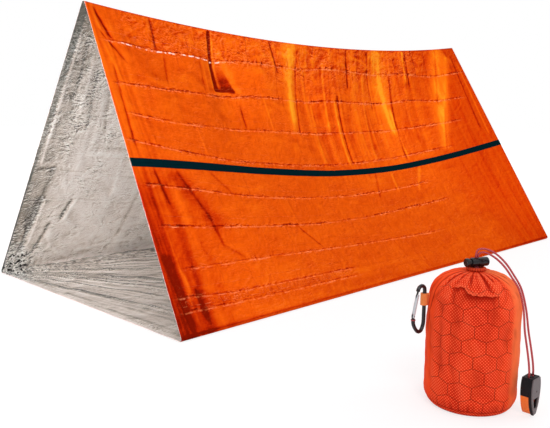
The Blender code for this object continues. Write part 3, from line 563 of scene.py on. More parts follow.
@dataclass
class TubeShape:
    """The pitched tube's main shape, as in the CAD."""

    length: float = 2.1
    width: float = 1.0
    ridge: float = 0.867
    near_lean: float = 0.049
    far_lean: float = 0.08
    sag: float = 0.058
    skew: float = 1.35
    ridge_fold: float = 0.012
    base_fold: float = 0.01
    tension: float = 0.008
    tension_reach: float = 0.34
    hanging: tuple[tuple[float, ...], ...] = (
        (-0.56, -0.02, 0.07, 0.3), (-0.34, 0.01, 0.09, 0.26), (-0.08, -0.012, 0.08, 0.34),
        (0.1, 0.012, 0.09, 0.3), (0.38, -0.014, 0.08, 0.36), (0.56, 0.012, 0.08, 0.3),
        (0.78, -0.008, 0.09, 0.3),
    )

    def along(self, u: Array, height: Array) -> Array:
        """Returns X of a column of the film, whose ends lean in towards the ridge.

        Args:
            u: the column's place, 0 to 1.
            height: heights above the ground.

        Returns:
            X at each.
        """
        share = height / self.ridge
        near = -self.length / 2 + self.near_lean * share
        far = self.length / 2 - self.far_lean * share
        return near + (far - near) * u

    def ends(self, u: Array, rate: float = 60) -> Array:
        """Returns 1 along the tent, which falls straight to 0 at its two ends at a rate."""
        return np.minimum(1.0, np.minimum(u, 1 - u) * rate)

    def main_folds(self, u: Array, t: Array) -> Array:
        """Returns the outward depth of the walls' main folds.

        Args:
            u: places along the tent, 0 to 1.
            t: places down the wall, 0 to 1.

        Returns:
            The depths.
        """
        x = (u - 0.5) * self.length
        depth = np.zeros_like(u)
        for place, high, half, reach in self.hanging:
            depth += high * bell(x - place, half) * bell(t, reach)
        far, down = u * self.length / self.tension_reach, t / self.tension_reach
        fan = np.arctan2(down, far + 1e-6)
        depth += self.tension * np.cos(6 * fan) * np.exp(-(far ** 2 + down ** 2)) * np.minimum(1.0, u * 12)
        return depth * self.ends(u, 10) * np.clip(t * 8, 0.0, 1.0)

    def wall(self, u: Array, t: Array, side: int, bow: float, relief: Array) -> tuple[Array, Array]:
        """Places a wall's points.

        Args:
            u: places along the tent, 0 to 1.
            t: places down the wall, 0 at the ridge to 1 at the ground fold.
            side: -1 for the front wall or 1 for the back.
            bow: how far the wall hangs inwards.
            relief: outward height of the finer folds.

        Returns:
            The points, and the direction inwards at each.
        """
        top_z = self.ridge - self.sag * (1 - (2 * u - 1) ** 2)
        zero = np.zeros_like(u)
        top = np.stack([zero, zero + side * self.ridge_fold / 2, top_z], -1)
        foot = np.stack([zero, zero + side * self.width / 2, zero + self.base_fold], -1)
        chord = foot - top
        inward = np.stack([zero, side * chord[..., 2], -side * chord[..., 1]], -1)
        inward /= np.linalg.norm(inward, axis=-1, keepdims=True)
        hang = bow * np.sin(np.pi * np.clip(u, 0, 1) ** self.skew) * 4 * t * (1 - t)
        points = top + chord * t[..., None] + inward * (hang - self.main_folds(u, t) - relief)[..., None]
        points[..., 0] = self.along(u, points[..., 2])
        return points, inward


@dataclass
class Sheeting:
    """A grid of film, whose points are placed on its own rows and columns."""

    name: str
    points: Array
    spread: Array
    marks: dict[str, Array]
    outward: Triple
    rims: bool = False

    def built(self, finishes: Sequence[Material], body: Body = Body.TENT) -> Piece:
        """Makes the mesh from a grid.

        Args:
            finishes: the film's material, and the material of its cut rims.
            body: what it rides on.

        Returns:
            The piece.
        """
        across, down = self.points.shape[0] - 1, self.points.shape[1] - 1
        bm = bmesh.new()
        bmesh.ops.create_grid(bm, x_segments=across, y_segments=down, size=1.0)
        mesh = mesh_from(self.name, bm)
        flat = np.zeros(len(mesh.vertices) * 3)
        mesh.vertices.foreach_get("co", flat)
        flat = flat.reshape(-1, 3)
        i = np.rint((flat[:, 0] + 1) / 2 * across).astype(int)
        j = np.rint((flat[:, 1] + 1) / 2 * down).astype(int)
        mesh.vertices.foreach_set("co", self.points[i, j].ravel())
        corners = np.zeros(len(mesh.loops), int)
        mesh.loops.foreach_get("vertex_index", corners)
        layout = mesh.uv_layers.new(name="UVMap")
        layout.data.foreach_set("uv", self.spread[i, j][corners].ravel())
        for name, values in self.marks.items():
            stored = mesh.attributes.new(name, "FLOAT", "POINT")
            stored.data.foreach_set("value", values[i, j].astype(np.float32))
        for finish in finishes:
            mesh.materials.append(finish)
        if self.rims:
            first = np.zeros(len(mesh.polygons), int)
            mesh.polygons.foreach_get("loop_start", first)
            columns = i[corners[first[:, None] + np.arange(4)]]
            on_rim = (columns.max(1) <= 1) | (columns.min(1) >= across - 1)
            mesh.polygons.foreach_set("material_index", on_rim.astype(int))
        mesh.update()
        normals = np.zeros(len(mesh.polygons) * 3)
        mesh.polygons.foreach_get("normal", normals)
        if normals.reshape(-1, 3).mean(0) @ np.array(self.outward) < 0:
            mesh.flip_normals()
        mesh.shade_smooth()
        piece = shown(self.name, mesh)
        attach(piece, body.value)
        log.info("%s: %d faces", self.name, len(mesh.polygons))
        return piece


@dataclass
class FilmTube:
    """The tube of metallised film: orange skin, silver lining and two dark stripes."""

    shape: TubeShape = field(default_factory=TubeShape)
    lining_gap: float = 0.001
    stripe_at: float = 0.51
    stripe_width: float = 0.026
    stripe_lift: float = 0.0007
    stripe_thickness: float = 0.0004
    front_columns: int = 470
    back_columns: int = 300
    floor_rows: int = 150
    front_pitch: float = 0.0054
    back_pitch: float = 0.006
    front_bow: float = 0.135
    back_bow: float = 0.075
    front_side: Triple = (0.0, -1.0, 0.5)
    back_side: Triple = (0.0, 1.0, 0.5)
    # Painted highlight stripes down the hanging folds: u at the ridge, u at 0.4 down the wall, width, and
    # reach down the wall
    highlight_band_paths: tuple[tuple[float, ...], ...] = (
        (0.694, 0.716, 0.018, 0.42), (0.428, 0.402, 0.016, 0.36), (0.925, 0.85, 0.02, 0.46),
    )
    front_depth: float = 0.0925
    line_places: tuple[float, ...] = (0.0, 0.1, 0.2, 0.35, 0.5, 0.65, 0.8, 0.9, 1.0)
    lines: tuple[tuple[float, ...], ...] = (
        (0.12, 0.118, 0.105, 0.092, 0.081, 0.087, 0.104, 0.125, 0.13),
        (0.262, 0.255, 0.24, 0.216, 0.205, 0.21, 0.222, 0.245, 0.255),
        (0.352, 0.369, 0.361, 0.345, 0.335, 0.334, 0.343, 0.352, 0.36),
        (0.438, 0.464, 0.481, 0.479, 0.472, 0.463, 0.46, 0.47, 0.48),
        (0.572, 0.588, 0.608, 0.616, 0.613, 0.606, 0.6, 0.6, 0.6),
        (0.695, 0.708, 0.716, 0.724, 0.717, 0.703, 0.7, 0.705, 0.71),
        (0.823, 0.825, 0.824, 0.827, 0.833, 0.84, 0.84, 0.84, 0.84),
        (0.895, 0.912, 0.915, 0.917, 0.92, 0.92, 0.92, 0.92, 0.92),
        (0.937, 0.943, 0.945, 0.947, 0.95, 0.95, 0.95, 0.95, 0.95),
    )
    line_ends: tuple[Triple, ...] = (
        (0.02, 0.97, 1.0), (0.02, 0.93, 1.0), (0.03, 0.9, 0.9), (0.01, 0.84, 0.8), (0.02, 0.72, 0.8),
        (0.03, 0.74, 0.9), (0.04, 0.66, 0.7), (0.02, 0.34, 0.7), (0.02, 0.34, 0.6),
    )
    pleats: tuple[Crease, ...] = Crease.table(
        (0.112, 0.0, 0.109, 0.115, -0.006, 0.01, 0.5), (0.124, 0.118, 0.113, 0.24, -0.0022, 0.006),
        (0.199, 0.11, 0.193, 0.24, -0.0016, 0.004), (0.206, 0.12, 0.202, 0.235, 0.0014, 0.004),
        (0.372, 0.0, 0.386, 0.11, -0.006, 0.009, 0.7), (0.268, 0.265, 0.268, 0.35, -0.003, 0.005),
        (0.33, 0.215, 0.338, 0.345, 0.0015, 0.004), (0.146, 0.365, 0.15, 0.47, 0.0012, 0.004),
        (0.43, 0.02, 0.398, 0.345, 0.0034, 0.016), (0.448, 0.02, 0.415, 0.345, -0.0045, 0.01),
        (0.515, 0.05, 0.506, 0.33, 0.004, 0.01), (0.592, 0.0, 0.588, 0.15, -0.0055, 0.009),
        (0.548, 0.18, 0.545, 0.47, -0.005, 0.009), (0.537, 0.2, 0.534, 0.48, 0.004, 0.01),
        (0.64, 0.1, 0.622, 0.47, 0.0028, 0.012), (0.47, 0.22, 0.462, 0.47, 0.0025, 0.01),
        (0.66, 0.0, 0.664, 0.24, -0.003, 0.008), (0.697, 0.0, 0.708, 0.36, 0.005, 0.016, -0.5),
        (0.716, 0.24, 0.722, 0.48, 0.004, 0.011, -0.4), (0.73, 0.1, 0.716, 0.48, -0.005, 0.01),
        (0.785, 0.0, 0.779, 0.14, 0.005, 0.009), (0.797, 0.0, 0.792, 0.16, -0.004, 0.007),
        (0.921, 0.0, 0.873, 0.26, -0.003, 0.007), (0.955, 0.03, 0.838, 0.47, 0.0045, 0.04),
        (0.89, 0.28, 0.842, 0.48, -0.0026, 0.006), (0.975, 0.05, 0.966, 0.42, -0.0022, 0.008),
        (0.988, 0.08, 0.982, 0.46, 0.002, 0.008), (0.012, 0.01, 0.03, 0.115, -0.006, 0.006, -0.5),
        (0.008, 0.03, 0.024, 0.15, 0.0012, 0.004), (0.01, 0.085, 0.044, 0.185, -0.0035, 0.006),
        (0.008, 0.11, 0.03, 0.27, 0.001, 0.004), (0.019, 0.2, 0.016, 0.46, -0.0034, 0.006),
        (0.036, 0.525, 0.046, 0.64, -0.004, 0.01, -0.8),
        (0.075, 0.525, 0.11, 0.68, -0.0026, 0.024, -0.9),
        (0.109, 0.67, 0.119, 0.78, -0.003, 0.02, -0.9),
        (0.118, 0.77, 0.15, 0.815, -0.0022, 0.014, -0.5),
        (0.14, 0.525, 0.178, 0.605, -0.0022, 0.018, -0.6), (0.295, 0.728, 0.327, 0.815, -0.0026, 0.005),
        (0.008, 0.78, 0.02, 0.99, -0.0075, 0.008, 0.6), (0.024, 0.7, 0.032, 0.985, 0.0022, 0.006),
        (0.043, 0.88, 0.047, 0.975, -0.005, 0.007), (0.03, 0.83, 0.034, 0.9, 0.0025, 0.005),
        (0.74, 0.525, 0.7, 0.64, 0.003, 0.009), (0.65, 0.525, 0.64, 0.62, 0.0026, 0.008),
        (0.6, 0.525, 0.575, 0.64, -0.0024, 0.008),
    )
    back_pleats: tuple[Crease, ...] = Crease.table(
        (0.036, 0.56, 0.03, 0.72, 0.0026, 0.016, 0.5), (0.031, 0.69, 0.025, 0.83, 0.012, 0.016, 0.4),
        (0.024, 0.82, 0.019, 0.96, 0.006, 0.006), (0.04, 0.7, 0.03, 0.93, -0.003, 0.008),
        (0.014, 0.1, 0.012, 0.56, -0.004, 0.01), (0.03, 0.12, 0.036, 0.4, 0.0016, 0.008),
        (0.046, 0.16, 0.052, 0.36, -0.0026, 0.01), (0.06, 0.2, 0.07, 0.42, 0.003, 0.008),
        (0.09, 0.26, 0.104, 0.43, 0.0022, 0.007), (0.085, 0.7, 0.075, 0.8, 0.006, 0.008),
        (0.094, 0.7, 0.084, 0.8, -0.004, 0.006), (0.06, 0.8, 0.045, 0.93, 0.005, 0.008),
        (0.15, 0.5, 0.16, 0.76, -0.002, 0.012), (0.21, 0.62, 0.2, 0.9, 0.0025, 0.01),
    )

    def guides(self, u: Array) -> Array:
        """Returns how far down each guide line lies at u: fold lines, the stripe's edges and both ends.

        Args:
            u: places along the tent, 0 to 1.

        Returns:
            One row of places for each u.
        """
        half = self.stripe_width / 2
        found = [np.interp(u, self.line_places, line) for line in self.lines]
        found[4:4] = [np.full_like(u, self.stripe_at - half), np.full_like(u, self.stripe_at + half)]
        return np.stack([np.zeros_like(u), *found, np.ones_like(u)], -1)

    def rows(self, u: Array, pitch: float) -> tuple[Array, Array]:
        """Returns places down a wall for each column, closer together beside each fold line.

        Args:
            u: the columns.
            pitch: the rows' mean distance.

        Returns:
            One line of rows for each column, from the ridge's middle to under the ground fold, and the
            number of the fold line that each row follows.
        """
        guides = self.guides(u)
        spans = (guides[:, 1:] - guides[:, :-1]).mean(0)
        out = [np.full_like(u, -0.006), np.full_like(u, -0.002)]
        band = [-0.06, -0.02]
        for k, span in enumerate(spans):
            count = max(3, round(span / pitch))
            for m in range(count):
                share = m / count
                share -= 0.6 * math.sin(2 * math.pi * share) / (2 * math.pi)
                out.append(guides[:, k] * (1 - share) + guides[:, k + 1] * share)
                band.append(k + share)
        out += [np.full_like(u, x) for x in (1.0, 1.004, 1.008, 1.012)]
        band += [len(spans) + x for x in (0.0, 0.04, 0.08, 0.12)]
        return np.stack(out, -1), np.tile(band, (len(u), 1))

    def fold_lines(self, u: Array, t: Array, seed: int, height: float) -> tuple[Array, dict[str, Array]]:
        """Works out the lines along which the film was folded to pack it.

        Args:
            u: places along the tent.
            t: places down the wall.
            seed: picks the noise.
            height: the lines' height.

        Returns:
            Their relief, each place's distance from the nearest line, and how strong that line is.
        """
        noise = Wander(seed)
        relief, strong = np.zeros_like(u), np.zeros_like(u)
        nearest = np.full_like(u, 0.03)
        for k, (line, (start, end, strength)) in enumerate(zip(self.lines, self.line_ends)):
            off = t - np.interp(u, self.line_places, line)
            wave = noise.at(u * 22 + 7 * k, np.full_like(u, 3.7 * k))
            held = eased(u, start - 0.02, start + 0.01) * eased(-u, -end - 0.04, -end)
            lift = held * strength * (0.75 + 0.5 * wave)
            sign = 1 if k % 2 == 0 else -1
            cusp = np.exp(-np.abs(off) / 0.0045) - 0.45 * np.exp(-np.abs(off) / 0.013)
            relief += sign * height * lift * cusp
            closer = np.abs(off) < np.abs(nearest)
            nearest, strong = np.where(closer, off, nearest), np.where(closer, lift, strong)
        return relief, {"line_off": nearest, "line_on": np.clip(strong, 0, 1.2)}

    def cell_tilts(self, u: Array, t: Array, seed: int, height: float) -> Array:
        """Returns a slight bulge and tilt in each field between the fold lines.

        Args:
            u: places along the tent, 0 to 1.
            t: places down the wall, 0 to 1.
            seed: picks the tilts.
            height: the highest of them.

        Returns:
            The relief.
        """
        draw = np.random.default_rng(seed)
        guides = self.guides(u[:, 0])
        relief = np.zeros_like(u)
        for band in range(guides.shape[1] - 1):
            top, bottom = guides[:, band][:, None], guides[:, band + 1][:, None]
            share = (t - top) / (bottom - top)
            inside = (share >= 0) & (share <= 1)
            bulge = 4 * share * (1 - share)
            edges = np.sort(draw.uniform(0.02, 0.98, 11))
            highs = draw.uniform(-1, 1, 12)
            step = np.interp(u, edges, highs[1:])
            relief += np.where(inside, bulge * step * height, 0.0)
        return relief

    def pleat_lap(self, u: Array, t: Array) -> tuple[Array, Array]:
        """Returns the relief and painted shading of the lapped pleat near the top, a wedge that widens to its
        foot.

        Args:
            u: places along the tent, 0 to 1.
            t: places down the wall, 0 to 1.

        Returns:
            The relief, and its painted shade and highlights.
        """
        right = (u - 0.2265 + 0.032 * t) * self.shape.length
        width = 0.006 + 0.42 * t
        foot = fading(t, 0.212, 0.217) * eased(t, 0.0, 0.01)
        inside = eased(right, -0.001, 0.004) * eased(width - right, -0.002, 0.006)
        lap = -0.005 * inside * np.clip(1 - right / width, 0, 1) * foot
        core = 0.0062 + 0.022 * t
        edge = np.exp(-(((right - core) / core) ** 4)) * foot
        inner = eased(t, 0.1, 0.205) * eased(right / width, 0.3, 0.5) * inside * foot
        base = bell(t - 0.207, 0.005) * eased(right, -0.004, 0.004)
        base *= eased(width - right, -0.006, 0.006)
        # Painted highlight beside the lap's edge and past its far side; painted shade along its edge, in its
        # lower wedge and along its foot
        bright = bell(right - 2.6 * core, 0.005) * fading(t, 0.1, 0.19)
        fan = bell(width + 0.016 - right, 0.016) * eased(t, 0.03, 0.1)
        pale = 0.9 * bright * eased(t, 0.02, 0.06) + 0.4 * fan
        return lap, pale * foot - 2.2 * edge - 0.9 * inner - 1.8 * base

    def front_relief(self, u: Array, t: Array) -> tuple[Array, dict[str, Array]]:
        """Returns the front wall's fine relief and its marks.

        Args:
            u: places along the tent, 0 to 1.
            t: places down the wall, 0 to 1.

        Returns:
            The relief, and the marks by name.
        """
        shape = self.shape
        x = u * shape.length
        near = bell(u, 0.06)
        relief, marks = self.fold_lines(u, t, 5, 0.0011)
        calm = 1 - 0.85 * eased(u, 0.8, 0.92)
        relief += self.cell_tilts(u, t, 21, 0.001) * (1 - near) * calm
        lap, painted = self.pleat_lap(u, t)
        relief += lap
        for crease in self.pleats:
            height, crease_shading = crease.relief(u, t, shape.length)
            relief += height
            painted += crease_shading
        top_row = fading(t, 0.09, 0.13) * eased(u, 0.03, 0.08) * (1 - 0.6 * eased(u, 0.82, 0.95))
        second = fading(t, 0.12, 0.26) * eased(u, 0.28, 0.4) * fading(u, 0.7, 0.86)
        relief += Crumple(31).at(x / 0.034, t / 0.024) * (0.0008 * top_row + 0.0005 * second)
        broad = 0.0007 * (0.35 + 0.65 * fading(t, 0.2, 0.62)) * calm
        relief += Crumple(33, 9).at(x / 0.085, t / 0.06) * broad
        hang = Wander(41).layered(x / 0.05, t / 0.55 + 3.0)
        middle = eased(u, 0.34, 0.45) * fading(u, 0.74, 0.86) * fading(t, 0.34, 0.62)
        relief += 0.0012 * hang * middle
        relief += 0.0006 * Wander(43).layered(x / 0.045, t / 0.8) * eased(u, 0.78, 0.9)
        relief += 0.0007 * Wander(45).layered(x / 0.03, t / 0.4, 2) * near
        relief += 0.0004 * Wander(47).layered(x / 0.06, t / 0.06) * calm
        fades = self.shape.ends(u) * eased(t, -0.004, 0.012) * eased(1 - t, 0.0, 0.012)
        # Painted shading: the creases' and the pleat's shade and highlights, lighter and darker streaks down
        # the hanging folds, and the broad painted shade and highlights
        marks["painted"] = painted * fades + 0.22 * hang * middle + self.front_shade(u, t)
        # Where pale dashes of glint and cracked lacquer show, mostly along the first fold line
        first = bell(t - np.interp(u, self.line_places, self.lines[0]), 0.03)
        marks["shine"] = 0.03 + first * eased(u, 0.02, 0.05) * fading(u, 0.21, 0.27)
        crumpled = np.clip(0.3 + 0.7 * top_row + 0.3 * second - 0.2 * near, 0, 1)
        marks["crumpled"] = crumpled * (0.4 + 0.6 * calm)
        return relief * fades, marks

    def front_shade(self, u: Array, t: Array) -> Array:
        """Returns the painted shade and highlights over the front wall's broad areas.

        Args:
            u: places along the tent, 0 to 1.
            t: places down the wall, 0 to 1.

        Returns:
            Painted shading, below 0 where it is shaded.
        """
        corner = bell(u - 0.02, 0.05) * bell(t - 1.0, 0.35)
        edge = bell(u, 0.03) * eased(t, 0.5, 0.62)
        folds = np.sin(2 * np.pi * (u / 0.034 - t * 0.22)) * bell(u - 0.05, 0.035) * eased(t, 0.52, 0.6)
        swoop = bell(u - 0.068 - 0.3 * (t - 0.53), 0.022) * eased(t, 0.51, 0.56) * fading(t, 0.68, 0.78)
        painted_highlights = np.zeros_like(u)
        for high, low, wide, reach in self.highlight_band_paths:
            place = high + (low - high) * t / 0.4
            painted_highlights += bell(u - place, wide * (1.2 - t)) * fading(t, 0.6 * reach, reach)
        painted_highlights *= 0.7 + 0.3 * Wander(46).layered(u * 60, t * 14, 2)
        lines = Wander(49).layered((u - 0.03 * t) * self.shape.length / 0.014, t / 0.45, 2) * bell(u, 0.055)
        # Painted highlights down the hanging folds and high in the middle; painted light and shade in stripes
        # along the near edge and in its soft folds; painted shade in the near lower corner, along the near
        # edge, in a broad swoop, towards the far end, along the ridge and ground folds, and a little over the
        # whole wall
        light = 0.3 * lines + 1.15 * painted_highlights + 0.1 * bell(u - 0.42, 0.22) * bell(t, 0.32)
        dark = 0.66 * corner + 0.3 * edge + 0.22 * folds + 0.42 * swoop + 0.3 * eased(u, 0.74, 0.95)
        rims = 0.5 * bell(t - 1.0, 0.004) + 0.35 * bell(t, 0.004)
        return light - dark - rims - self.front_depth

    def back_shade(self, u: Array, t: Array) -> Array:
        """Returns the painted shade on the back wall's silver side over its broad areas: high up near the
        near end, along the near end, and in soft streaks.

        Args:
            u: places along the tent, 0 to 1.
            t: places down the wall, 0 to 1.

        Returns:
            Painted shade, above 0 where its silver side is shaded.
        """
        upper = bell(t, 0.3) * bell(u, 0.2)
        left = bell(u, 0.05) * (0.8 + 0.4 * eased(t, 0.3, 0.7))
        along = u * self.shape.length
        streaks = Wander(58).layered(along / 0.02 + t * 1.5, t / 0.3) * fading(t, 0.4, 0.7)
        return 0.22 * upper + 0.66 * left + 0.14 * streaks * bell(u, 0.35)

    def back_relief(self, u: Array, t: Array) -> tuple[Array, dict[str, Array]]:
        """Returns the back wall's fine relief and its marks.

        Args:
            u: places along the tent, 0 to 1.
            t: places down the wall, 0 to 1.

        Returns:
            The relief, and the marks by name.
        """
        shape = self.shape
        x = u * shape.length
        relief, marks = self.fold_lines(u, t, 6, 0.0016)
        relief += self.cell_tilts(u, t, 22, 0.002)
        painted = np.zeros_like(u)
        for crease in self.back_pleats:
            height, crease_shading = crease.relief(u, t, shape.length)
            relief += height
            painted += crease_shading
        upper = fading(t, 0.35, 0.62) * eased(t, 0.05, 0.12)
        relief += 0.0011 * Wander(52).layered(x / 0.028, t / 0.12) * upper * fading(u, 0.2, 0.5)
        relief += Crumple(53, 9).at(x / 0.07, t / 0.06) * 0.0011
        corner = bell(u, 0.055) * eased(t, 0.86, 0.97)
        relief += Crumple(55, 9).at(x / 0.016, t / 0.02) * 0.0045 * corner
        relief += Crumple(57).at(x / 0.03, t / 0.026) * 0.0013 * eased(t, 0.78, 0.95)
        # Painted shading of the creases, and the broad painted shade of the silver side
        marks["painted"] = painted + self.back_shade(u, t)
        marks["shine"] = np.full_like(u, 0.12)
        marks["crumpled"] = np.clip(0.35 + 0.5 * upper + 1.8 * corner, 0, 2)
        turned = np.interp(t, (0.0, 0.4, 0.65, 1.0), (0.0125, 0.008, 0.0032, 0.0026))
        strength = np.interp(t, (0.0, 0.3, 0.5, 0.62), (0.66, 0.46, 0.4, 0.96))
        marks["turned"] = eased(turned - u, 0.0, 0.0008) * strength
        return relief * self.shape.ends(u) * eased(t, 0.0, 0.012) * eased(1 - t, 0.0, 0.008), marks

    def wall_points(self, columns: Array, pitch: float, side: int, bow: float) -> tuple[Array, ...]:
        """Places one wall's grid, from the ridge's middle to under the ground fold.

        Args:
            columns: places along the tent.
            pitch: the rows' mean distance.
            side: -1 for the front wall or 1 for the back.
            bow: how far the wall hangs inwards.

        Returns:
            Points, inward directions, flat places in metres and marks.
        """
        t, band = self.rows(columns, pitch)
        u = np.repeat(columns[:, None], t.shape[1], 1)
        relief, marks = (self.front_relief if side < 0 else self.back_relief)(u, t)
        held = np.clip(t, 0.0, 1.0)
        points, inward = self.shape.wall(u, held, side, bow, relief)
        over = np.clip(-t, 0.0, None) / 0.006
        points[..., 1] -= side * over * self.shape.ridge_fold / 2
        points[..., 2] += 0.0008 * over
        under = np.clip(t - 1.0, 0.0, None) / 0.012
        points[..., 2] -= under * (self.shape.base_fold - 0.0006)
        points[..., 1] -= side * 0.004 * eased(under, 0.6, 1.0)
        # Painted shading: the relief's ridges lighter and its valleys darker, with the painted marks added
        tone = 0.5 * (relief - softened(relief, 3)) / 0.001 + 0.3 * (relief - softened(relief, 12)) / 0.004
        marks["tone"] = np.clip(0.55 * tone + marks.pop("painted"), -1, 1)
        marks["band"] = band
        return points, inward, np.stack([u * self.shape.length, t * self.shape.width], -1), marks

    def floor_points(self, columns: Array, rows: int) -> tuple[Array, ...]:
        """Places the floor film's grid, from the front fold to the back one.

        Args:
            columns: places along the tent.
            rows: how many rows go across.

        Returns:
            Points, inward directions, flat places in metres and marks.
        """
        shape = self.shape
        v = np.linspace(0.0, 1.0, rows + 1)
        u, v = np.meshgrid(columns, v, indexing="ij")
        x, y = u * shape.length, v * shape.width
        fan = np.arctan2(1.02 - v, x + 0.02)
        far = np.hypot(1.0 - v, x)
        rays = np.abs(Wander(63).layered(fan * 16, far * 0.8)) * bell(far, 0.9)
        long = Wander(64).layered(x / 0.3, y / 0.035)
        corner = bell(far, 0.16)
        relief = 0.0035 + 0.005 * rays + 0.0008 * long + 0.0026 * Crumple(61, 9).at(x / 0.1, y / 0.09)
        relief += 0.007 * Crumple(65, 9).at(x / 0.02, y / 0.022) * corner
        relief += 0.003 * Crumple(66).at(x / 0.03, y / 0.03) * eased(v, 0.8, 0.95)
        relief += 0.0027 * eased(v, 0.93, 1.0)
        relief = np.clip(relief, 0.0, 0.018) * eased(v, 0.0, 0.03) * eased(1 - v, 0.0, 0.012)
        relief *= eased(u, -0.004, 0.012) * eased(1 - u, -0.004, 0.01)
        half = shape.width / 2 - 0.004
        points = np.stack([shape.along(u, np.zeros_like(u)), half * (2 * v - 1), relief + 0.0006], -1)
        inward = np.zeros_like(points)
        inward[..., 2] = 1.0
        # Painted shading: the relief's high and low places, the radiating creases, the corner and a constant;
        # the silver lining takes it with its sign turned, so there the creases, the corner and the whole
        # floor are shaded darker
        tone = 0.55 * (relief - softened(relief, 3)) / 0.0016 + 0.9 * rays + 0.15 * corner + 0.2
        none = np.zeros_like(u)
        marks = {
            "tone": np.clip(tone, -1, 1), "line_off": np.full_like(u, 0.03), "line_on": none, "shine": none,
            "crumpled": 0.25 + 1.5 * corner, "band": v * 8,
        }
        return points, inward, np.stack([x, y], -1), marks

    def skins(
        self, name: str, laid: tuple[Array, ...], outward: Triple, finishes: dict[str, Material]
    ) -> tuple[Piece, Piece]:
        """Builds one panel's orange skin, with cut rims at the tube's two ends, and its silver lining.

        Args:
            name: the panel's name.
            laid: points, inward directions, flat places and marks.
            outward: which way the orange skin faces.
            finishes: the film's materials by name.

        Returns:
            The skin and the lining.
        """
        points, inward, spread, marks = laid
        rims = [np.concatenate([a[:1], a, a[-1:]]) for a in (points, inward, spread)]
        rims[0][[0, -1]] += rims[1][[0, -1]] * self.lining_gap
        wider = {key: np.concatenate([a[:1], a, a[-1:]]) for key, a in marks.items()}
        # The back and floor skins' painted shading is weakened; the lining takes it with its sign turned, as
        # a ridge outside is a valley inside
        wider["tone"] = wider["tone"] * (1.0 if name == "front" else 0.35)
        skin = Sheeting(f"{name}_skin", rims[0], rims[2], wider, outward, rims=True)
        inner_marks = dict(marks, tone=np.clip(-1.1 * marks["tone"], -1, 1))
        inside = points + inward * self.lining_gap
        lining = Sheeting(f"{name}_lining", inside, spread, inner_marks, tuple(-x for x in outward))
        outer = skin.built([finishes["orange"], finishes["rim"]])
        inner = lining.built([finishes["silver"]])
        return outer, inner

    def stripe(self, name: str, laid: tuple[Array, ...], outward: Triple, finish: Material) -> Piece:
        """Builds the tape that lies on a wall, from the wall's own points.

        Args:
            name: the tape's name.
            laid: the wall's points and what goes with them.
            outward: which way the tape faces.
            finish: its material.

        Returns:
            The tape.
        """
        points, inward, spread, marks = laid
        t = spread[..., 1] / self.shape.width
        half = self.stripe_width / 2 + 1e-6
        kept = np.nonzero(np.abs(t[0] - self.stripe_at) <= half)[0]
        band = slice(kept[0], kept[-1] + 1)
        lift = points[:, band] - inward[:, band] * self.stripe_lift
        sheet = Sheeting(name, lift, spread[:, band], {"tone": marks["tone"][:, band]}, outward)
        tape = sheet.built([finish])
        thickened(tape, "tape", self.stripe_thickness)
        return tape

    def build(self) -> None:
        """Builds the tube's panels, linings and stripes."""
        orange, rim = OrangeFilm().paint(), FilmRim().paint()
        silver, tape = SilverFilm().paint(), StripeTape().paint()
        finishes = {"orange": orange, "rim": rim, "silver": silver}
        quick = 1.0
        columns = np.linspace(0.0, 1.0, int(self.front_columns / quick) + 1)
        share = np.linspace(0.0, 1.0, int(self.back_columns / quick) + 1)
        closer = 0.45 * share + 0.55 * share ** 2
        front = self.wall_points(columns, self.front_pitch * quick, -1, self.front_bow)
        back = self.wall_points(closer, self.back_pitch * quick, 1, self.back_bow)
        floor = self.floor_points(closer, int(self.floor_rows / quick))
        for name, laid, outward, node in (
            ("front", front, self.front_side, "front_wall"), ("back", back, self.back_side, "back_wall"),
            ("floor", floor, (0.0, 0.0, -1.0), "groundsheet"),
        ):
            skin, lining = self.skins(name, laid, outward, finishes)
            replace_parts(skin, node)
            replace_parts(lining, "silver_lining")
        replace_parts(self.stripe("tape_front", front, self.front_side, tape), "front_stripe")
        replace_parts(self.stripe("tape_back", back, self.back_side, tape), "back_stripe")


# Film finishes


